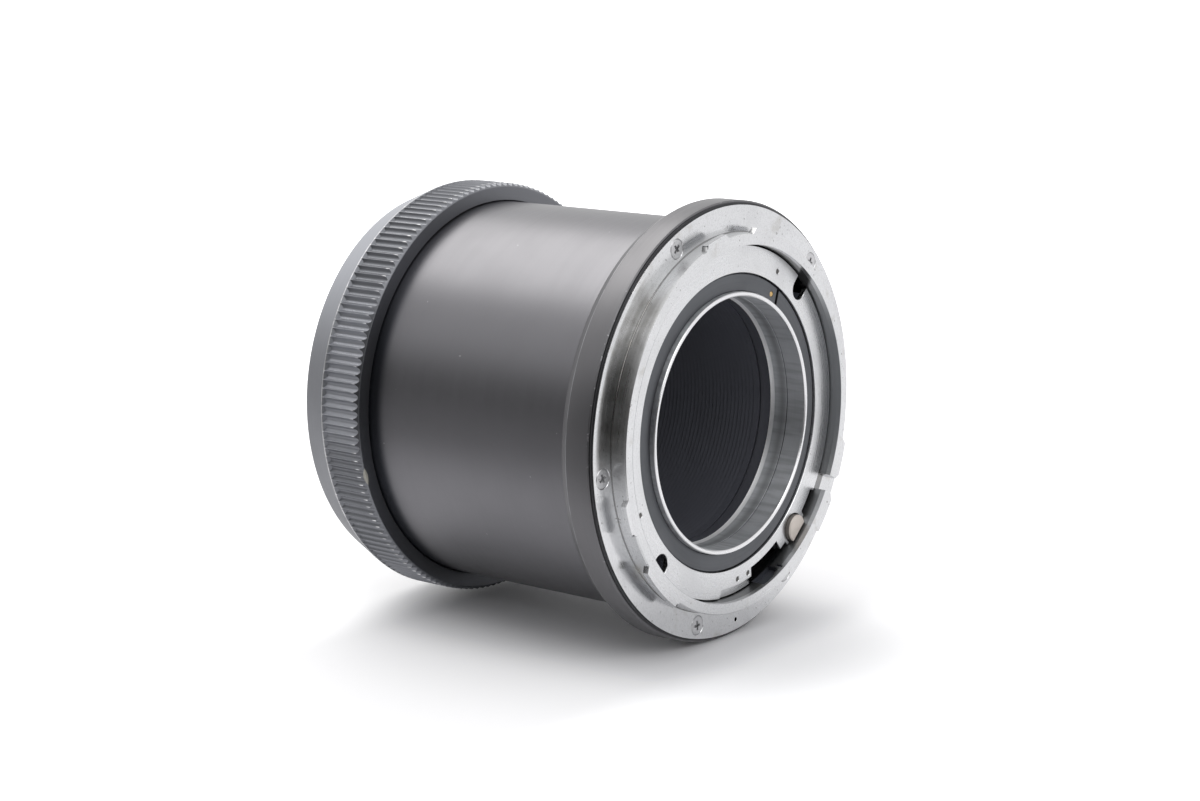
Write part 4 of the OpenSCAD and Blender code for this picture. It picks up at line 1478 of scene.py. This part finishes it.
def add_floor():
    """White floor that keeps the tube's shadow, and is dark to metal on the -Y side."""
    reach, level = 6.0, -FLANGE * MM
    corners = ((-reach, -reach), (reach, -reach), (reach, reach), (-reach, reach))
    floor = add_mesh("floor", [(x, y, level) for x, y in corners], [(0, 1, 2, 3)])
    material = bpy.data.materials.new("floor_white")
    material.use_nodes = True
    tree = material.node_tree
    shader = tree.nodes["Principled BSDF"]
    shader.inputs["Roughness"].default_value = 0.6
    shader.inputs["Emission Color"].default_value = WHITE
    path, share = backdrop_share(tree)
    along, across = place_parts(tree, "Object")[:2]

    # How far a spot lies past the tube's ends, and from the line under the tube
    middle, half = 0.049, 0.033
    beyond = node_maths(tree, "ABSOLUTE", node_maths(tree, "SUBTRACT", along, middle))
    beyond = node_maths(tree, "MAXIMUM", node_maths(tree, "SUBTRACT", beyond, half), 0.0)
    squares = node_maths(
        tree, "ADD", node_maths(tree, "POWER", beyond, 2.0),
        node_maths(tree, "POWER", node_maths(tree, "ABSOLUTE", across), 2.0))
    distance = node_maths(tree, "SQRT", squares)

    # The floor glows more, away from the tube, so that only its shadow is left
    near_glow, end_glow, far_glow = 0.24, 0.22, 0.5
    far = node_maths(
        tree, "ADD", smooth_map(tree, beyond, 0.0, 0.016, 0.0, end_glow),
        smooth_map(tree, distance, 0.12, 0.6, 0.0, far_glow))
    far = product(tree, path.outputs["Is Camera Ray"], far)
    glow = node_maths(tree, "ADD", smooth_map(tree, distance, 0.015, 0.05, 0.0, near_glow), far)
    dark = product(
        tree, smooth_map(tree, across, -0.05, -0.16), path.outputs["Is Glossy Ray"],
        smooth_map(tree, along, 0.02, 0.14, 0.7, 0.95))
    glow = product(tree, glow, node_maths(tree, "SUBTRACT", 1.0, dark))
    tree.links.new(product(tree, share, glow), shader.inputs["Emission Strength"])
    mix = tree.nodes.new("ShaderNodeMix")
    mix.data_type = "RGBA"
    tree.links.new(dark, mix.inputs["Factor"])
    mix.inputs[6].default_value = (0.815, 0.815, 0.835, 1.0)
    mix.inputs[7].default_value = (0.05, 0.05, 0.05, 1.0)
    tree.links.new(mix.outputs[2], shader.inputs["Base Color"])
    floor.data.materials.append(material)


def add_surroundings(context, settings):
    """White surroundings. Metal also mirrors the low dark of the room on the -Y side."""
    world = bpy.data.worlds.new("surroundings")
    context.scene.world = world
    world.use_nodes = True
    tree = world.node_tree
    background = tree.nodes["Background"]
    path, seen = backdrop_share(tree)
    along, across, height = place_parts(tree, "Generated")

    # The more a ray looks ahead, the higher and the further round the dark side reaches
    ahead = node_maths(tree, "MAXIMUM", along, 0.0)
    across = node_maths(tree, "ADD", across, product(tree, ahead, -0.5))
    height = node_maths(tree, "ADD", height, product(tree, ahead, -0.6))
    dark = product(
        tree, smooth_map(tree, across, -0.48, -0.66), smooth_map(tree, height, 0.5, 0.22),
        smooth_map(tree, along, -0.3, 0.3, 0.92, 1.0), settings.dark)
    room = node_maths(tree, "SUBTRACT", 1.0, dark)
    camera = path.outputs["Is Camera Ray"]
    mirrored = product(tree, node_maths(tree, "SUBTRACT", seen, camera), room)
    shown = node_maths(tree, "ADD", camera, mirrored)
    rest = product(tree, node_maths(tree, "SUBTRACT", 1.0, seen), settings.ambient)
    tree.links.new(node_maths(tree, "ADD", shown, rest), background.inputs["Strength"])
    background.inputs["Color"].default_value = WHITE


def add_lamp(name, place, width, height, power, colour):
    """A large soft lamp that looks at the tube."""
    data = bpy.data.lights.new(name, "AREA")
    data.shape = "RECTANGLE"
    data.size = width
    data.size_y = height
    data.energy = power
    data.color = colour
    lamp = bpy.data.objects.new(name, data)
    bpy.context.scene.collection.objects.link(lamp)
    lamp.location = place
    middle = Vector((0.04, 0.0, 0.0))
    aim = middle - Vector(place)
    lamp.rotation_euler = aim.to_track_quat("-Z", "Y").to_euler()


class TUBE_OT_barrel(Operator):
    """Builds the barrel, the front flange and the shim"""
    bl_idname = "tube.barrel"
    bl_label = "Barrel"

    def execute(self, context):
        sizes = context.scene.tube_sizes
        edge, steps = sizes.edge, sizes.steps
        profile = eased([
            (BARREL_BACK, BARREL_LIP, 0.0), (BARREL_BACK, BARREL), (SHOULDER_BACK, BARREL, 0.0),
            (SHOULDER_BACK, SHOULDER), (SHOULDER_FRONT, SHOULDER), (SHOULDER_FRONT, BARREL, 0.0),
            (FLANGE_BACK, BARREL, 0.0), (FLANGE_BACK, BARREL_INNER, 0.0),
            (BARREL_LIP_FRONT, BARREL_INNER, 0.0), (BARREL_LIP_FRONT, BARREL_LIP),
        ], edge)
        barrel = turned("barrel_tube", profile, steps)
        slack = 2.1
        groove = (STOP_SCREW - slack, STOP_SCREW + LOCK_TURN + slack)
        cut_away(barrel, [ring_sector(
            "groove", BARREL + SLIP, SHOULDER + 1, groove, BARREL_BACK + 0.2,
            SHOULDER_FRONT + 0.3, 48)])
        dressed(barrel, "barrel_anodised", "tube", "barrel")
        profile = eased([
            (FLANGE_SPIGOT, FLANGE_BORE), (FLANGE_SPIGOT, BARREL_INNER - SLIP),
            (FLANGE_BACK, BARREL_INNER - SLIP, 0.0), (FLANGE_BACK, FLANGE - 0.9, 0.06),
            (FLANGE_BACK + FLANGE_CHAMFER, FLANGE, 0.08), (FLANGE_FRONT, FLANGE, 0.25),
            (FLANGE_FRONT, POCKET, 0.05), (BASE_BACK, POCKET, 0.0), (BASE_BACK, FLANGE_BORE),
        ], edge)
        flange = turned("front_flange_ring", profile, steps)
        dressed(flange, "flange_black", "tube", "front_flange")
        profile = eased([
            (FLANGE_FRONT, POCKET + SLIP), (FLANGE_FRONT, SHIM), (BASE_LIP, SHIM),
            (BASE_LIP, POCKET + SLIP),
        ], 0.04)
        shim = turned("mount_shim_ring", profile, steps)
        dressed(shim, "shim_grey", "tube", "mount_shim", slot="steel")
        return {"FINISHED"}


class TUBE_OT_front_mount(Operator):
    """Builds the chromed front mount and its screws"""
    bl_idname = "tube.front_mount"
    bl_label = "Front mount"

    def execute(self, context):
        sizes, screws = context.scene.tube_sizes, context.scene.tube_screws
        mount = build_front_mount(sizes, screws)
        dressed(mount, "mount_chrome", "tube", "bayonet_mount")
        unit = screw_unit("mount_screw", screws.mount_head, *MOUNT_SHAFT)
        row = repeated(
            "front_mount_screws", unit, MOUNT_SCREWS, MOUNT_SCREW_PITCH, BASE_FACE,
            screws.turn, "steel")
        dressed(row, "steel", "tube", "mount_screws")
        return {"FINISHED"}


class TUBE_OT_light_path(Operator):
    """Builds the sleeve, the baffle, the light tunnel, the cover ring and its pin"""
    bl_idname = "tube.light_path"
    bl_label = "Light path"

    def execute(self, context):
        sizes = context.scene.tube_sizes
        edge, steps = sizes.edge, sizes.steps
        profile = eased([
            (SLEEVE_BACK, SLEEVE, 0.0), (SLEEVE_RIM, SLEEVE, 0.16), (SLEEVE_RIM, THROAT, 0.2),
            (SLEEVE_GROOVE + 0.15, THROAT, 0.0), (SLEEVE_GROOVE, THROAT + 0.2, 0.0),
            (SLEEVE_GROOVE - 0.15, THROAT, 0.0), (SLEEVE_BACK + SLEEVE_BEVEL, THROAT, 0.0),
            (SLEEVE_BACK, THROAT - SLEEVE_LIP, 0.05),
        ], edge)
        sleeve = turned("front_sleeve_rim", profile, steps)
        dressed(sleeve, "sleeve_silver", "tube", "front_sleeve")
        profile = eased([
            (BAFFLE_BACK, THROAT + 0.5, 0.0), (BAFFLE_BACK, SLEEVE - SLIP, 0.0),
            (SLEEVE_BACK, SLEEVE - SLIP, 0.0), (SLEEVE_BACK, THROAT, 0.2),
            (BAFFLE_BACK + 0.5, THROAT, 0.05),
        ], edge)
        baffle = turned("baffle_ring_black", profile, steps)
        dressed(baffle, "matt_black", "tube", "baffle_ring")
        tunnel = turned("light_tunnel_tube", tunnel_profile(), steps // 2)
        dressed(tunnel, "matt_black", "tube", "light_tunnel")
        profile = eased([
            (FLANGE_FRONT, SLEEVE + SLIP, 0.0), (FLANGE_FRONT, COVER + 0.2, 0.0),
            (COVER_FACE, COVER + 0.2, 0.2), (COVER_FACE, SLEEVE + SLIP, 0.2),
        ], edge)
        cover = turned("cover_ring_face", profile, steps)
        slit = [
            [round_point(a, x, r) for a, r in COVER_SLIT]
            for x in (COVER_FACE - 0.6, COVER_FACE + 0.5)]
        pin_hole = [(-0.5, 1.14), (0.0, 0.64), (0.6, 0.61)]
        cut_away(cover, [lofted("cover_slit", slit), hole_cutter(
            "pin_hole", COVER_PIN, COVER_PIN_PITCH, COVER_FACE, -1, pin_hole, 24)])
        dressed(cover, "cover_grey", "tube", "cover_ring")
        foot, side_top, top, radius = PLATE_BACK, 78.6, 78.68, 0.58
        profile = [
            (foot, 0.0), (foot, radius), (side_top, radius), (top, radius - 0.1), (top, 0.0)]
        unit = turned("pin_unit", profile, 24)
        pin = repeated(
            "cover_pin_head", unit, (COVER_PIN,), COVER_PIN_PITCH, 0.0, 0.0, "brass")
        dressed(pin, "brass", "tube", "cover_pin")
        return {"FINISHED"}


def tunnel_profile():
    """Profile of the light tunnel, threaded inside against stray light."""
    profile = [(TUNNEL_BACK + 0.3, THROAT), (TUNNEL_BACK, THROAT + 0.3),
               (TUNNEL_BACK, TUNNEL - 0.2), (TUNNEL_BACK + 0.2, TUNNEL),
               (FLANGE_FRONT, TUNNEL), (FLANGE_FRONT, SLEEVE + SLIP),
               (BAFFLE_BACK, SLEEVE + SLIP), (BAFFLE_BACK, THROAT)]
    pitch, depth, x = 1.0, 0.22, BAFFLE_BACK - 1.5
    while x > TUNNEL_BACK + 3.0:
        profile += [(x, THROAT), (x - 0.15, THROAT + depth), (x - pitch + 0.2, THROAT)]
        x -= pitch
    return profile


class TUBE_OT_rear_mount(Operator):
    """Builds the rear mount plate and its screws"""
    bl_idname = "tube.rear_mount"
    bl_label = "Rear mount"

    def execute(self, context):
        sizes, screws = context.scene.tube_sizes, context.scene.tube_screws
        plate = build_rear_plate(sizes, screws)
        dressed(plate, "mount_chrome", "tube", "rear_mount_plate")
        unit = screw_unit("rear_screw", screws.rear_head, *REAR_SHAFT)
        unit.data.transform(Matrix.Rotation(math.pi, 4, "Z"))
        cross_turn = 0.3
        row = repeated(
            "rear_mount_screws", unit, REAR_SCREWS, REAR_SCREW_PITCH, 0.0, cross_turn, "steel")
        dressed(row, "steel", "tube", "rear_plate_screws")
        return {"FINISHED"}


class TUBE_OT_lock_ring(Operator):
    """Builds the knurled lock ring with its claws, retainer, mark and stop screw"""
    bl_idname = "tube.lock_ring"
    bl_label = "Lock ring"

    def execute(self, context):
        scene = context.scene
        sizes = scene.tube_sizes
        ring = build_lock_ring(scene.tube_knurls, "ring_black")
        dressed(ring, "ring_black", "ring", "lock_ring")
        dressed(build_claw_ring(sizes), "mount_chrome", "ring", "claw_ring")
        back, front = SHOULDER_FRONT + 0.3, RING_FRONT - RETAINER_SINK
        inner, outer = BARREL + RUNNING_GAP, RING_CHAMBER - SLIP
        profile = eased(
            [(back, inner), (back, outer), (front, outer), (front, inner, 0.3)], sizes.edge)
        retainer = turned("ring_retainer_black", profile, sizes.steps)
        dressed(retainer, "ring_black", "ring", "ring_retainer", slot="flange_black")
        dressed(build_mark(), "mark_ivory", "ring", "index_mark")
        screw = smooth_copy("ring_stop_screw", "ring_stop_screw_steel")
        dressed(screw, "steel", "ring", "ring_stop_screw")
        return {"FINISHED"}


class TUBE_OT_rotor(Operator):
    """Builds the cocking plate with its rivets, and the drum with what turns with it"""
    bl_idname = "tube.rotor"
    bl_label = "Cocking rotor"

    def execute(self, context):
        plate = build_cocking_plate(context.scene.tube_sizes)
        dressed(plate, "plate_chrome", "rotor", "cocking_plate")
        start, stop, cut = PLATE_STEPS[0]
        ledge = ring_sector(
            "cocking_plate_ledge", PLATE - cut - 0.5, PLATE - 0.05, (start - 2, stop - 0.6),
            PLATE_BACK, PLATE_BACK + 0.4)
        dressed(ledge, "plate_chrome", "rotor")
        length, edge = 2.2, 0.06
        profile = [
            (0.0, 0.0), (0.0, RIVET_RADIUS - edge), (-edge, RIVET_RADIUS),
            (-length, RIVET_RADIUS), (-length, 0.0)]
        row = repeated(
            "plate_rivets_flush", turned("rivet", profile, 24), RIVETS, RIVET_PITCH,
            PLATE_FACE, 0.0, "rivet_grey")
        dressed(row, "rivet_grey", "rotor", "plate_rivets", slot="steel")
        inner = (
            ("rotor_drum", "matt_black"), ("front_bush", "brass"), ("rear_bush", "brass"),
            ("drive_ring", "steel"), ("cocking_pins", "steel"), ("release_guide", "steel"),
        )
        for node, finish in inner:
            dressed(smooth_copy(node, node + "_smooth"), finish, "rotor", node)
        return {"FINISHED"}


class TUBE_OT_release(Operator):
    """Builds the release stud, its rod, clip, tip and return spring"""
    bl_idname = "tube.release"
    bl_label = "Release"

    def execute(self, context):
        dressed(build_stud(), "stud_ivory", "release", "release_stud")
        for node in ("release_rod", "spring_clip", "release_tip"):
            dressed(smooth_copy(node, node + "_smooth"), "steel", "release", node)
        spring = build_spring()
        body = frame["nodes"]["release_spring"]["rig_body"]
        dressed(spring, "steel", body, "release_spring")
        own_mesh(spring)
        return {"FINISHED"}


class TUBE_PT_panel(Panel):
    """Lists the operators and their settings in the sidebar"""
    bl_idname = "TUBE_PT_panel"
    bl_label = "Extension Tube"
    bl_space_type = "VIEW_3D"
    bl_region_type = "UI"
    bl_category = "Extension Tube"

    def draw(self, context):
        for operator in OPERATORS:
            self.layout.operator(operator.bl_idname)
        for name in GROUPS:
            group = getattr(context.scene, name)
            box = self.layout.box()
            for key in group.__annotations__:
                box.prop(group, key)


GROUPS = {
    "tube_sizes": TubeSizes,
    "tube_knurls": KnurlSizes,
    "tube_screws": ScrewSizes,
    "tube_colours": FinishColours,
    "tube_stage": StageSettings,
}
OPERATORS = (
    TUBE_OT_stage, TUBE_OT_barrel, TUBE_OT_front_mount, TUBE_OT_light_path,
    TUBE_OT_rear_mount, TUBE_OT_lock_ring, TUBE_OT_rotor, TUBE_OT_release,
)


def register():
    """Registers the settings, the operators and the panel."""
    for name, group in GROUPS.items():
        bpy.utils.register_class(group)
        setattr(bpy.types.Scene, name, PointerProperty(type=group))
    for operator in OPERATORS:
        bpy.utils.register_class(operator)
    bpy.utils.register_class(TUBE_PT_panel)


def unregister():
    """Takes back what register did, in reverse."""
    bpy.utils.unregister_class(TUBE_PT_panel)
    for operator in reversed(OPERATORS):
        bpy.utils.unregister_class(operator)
    for name, group in reversed(GROUPS.items()):
        delattr(bpy.types.Scene, name)
        bpy.utils.unregister_class(group)


def main():
    register()
    for operator in OPERATORS:
        group, name = operator.bl_idname.split(".")
        getattr(getattr(bpy.ops, group), name)()


if __name__ == "__main__":
    main()
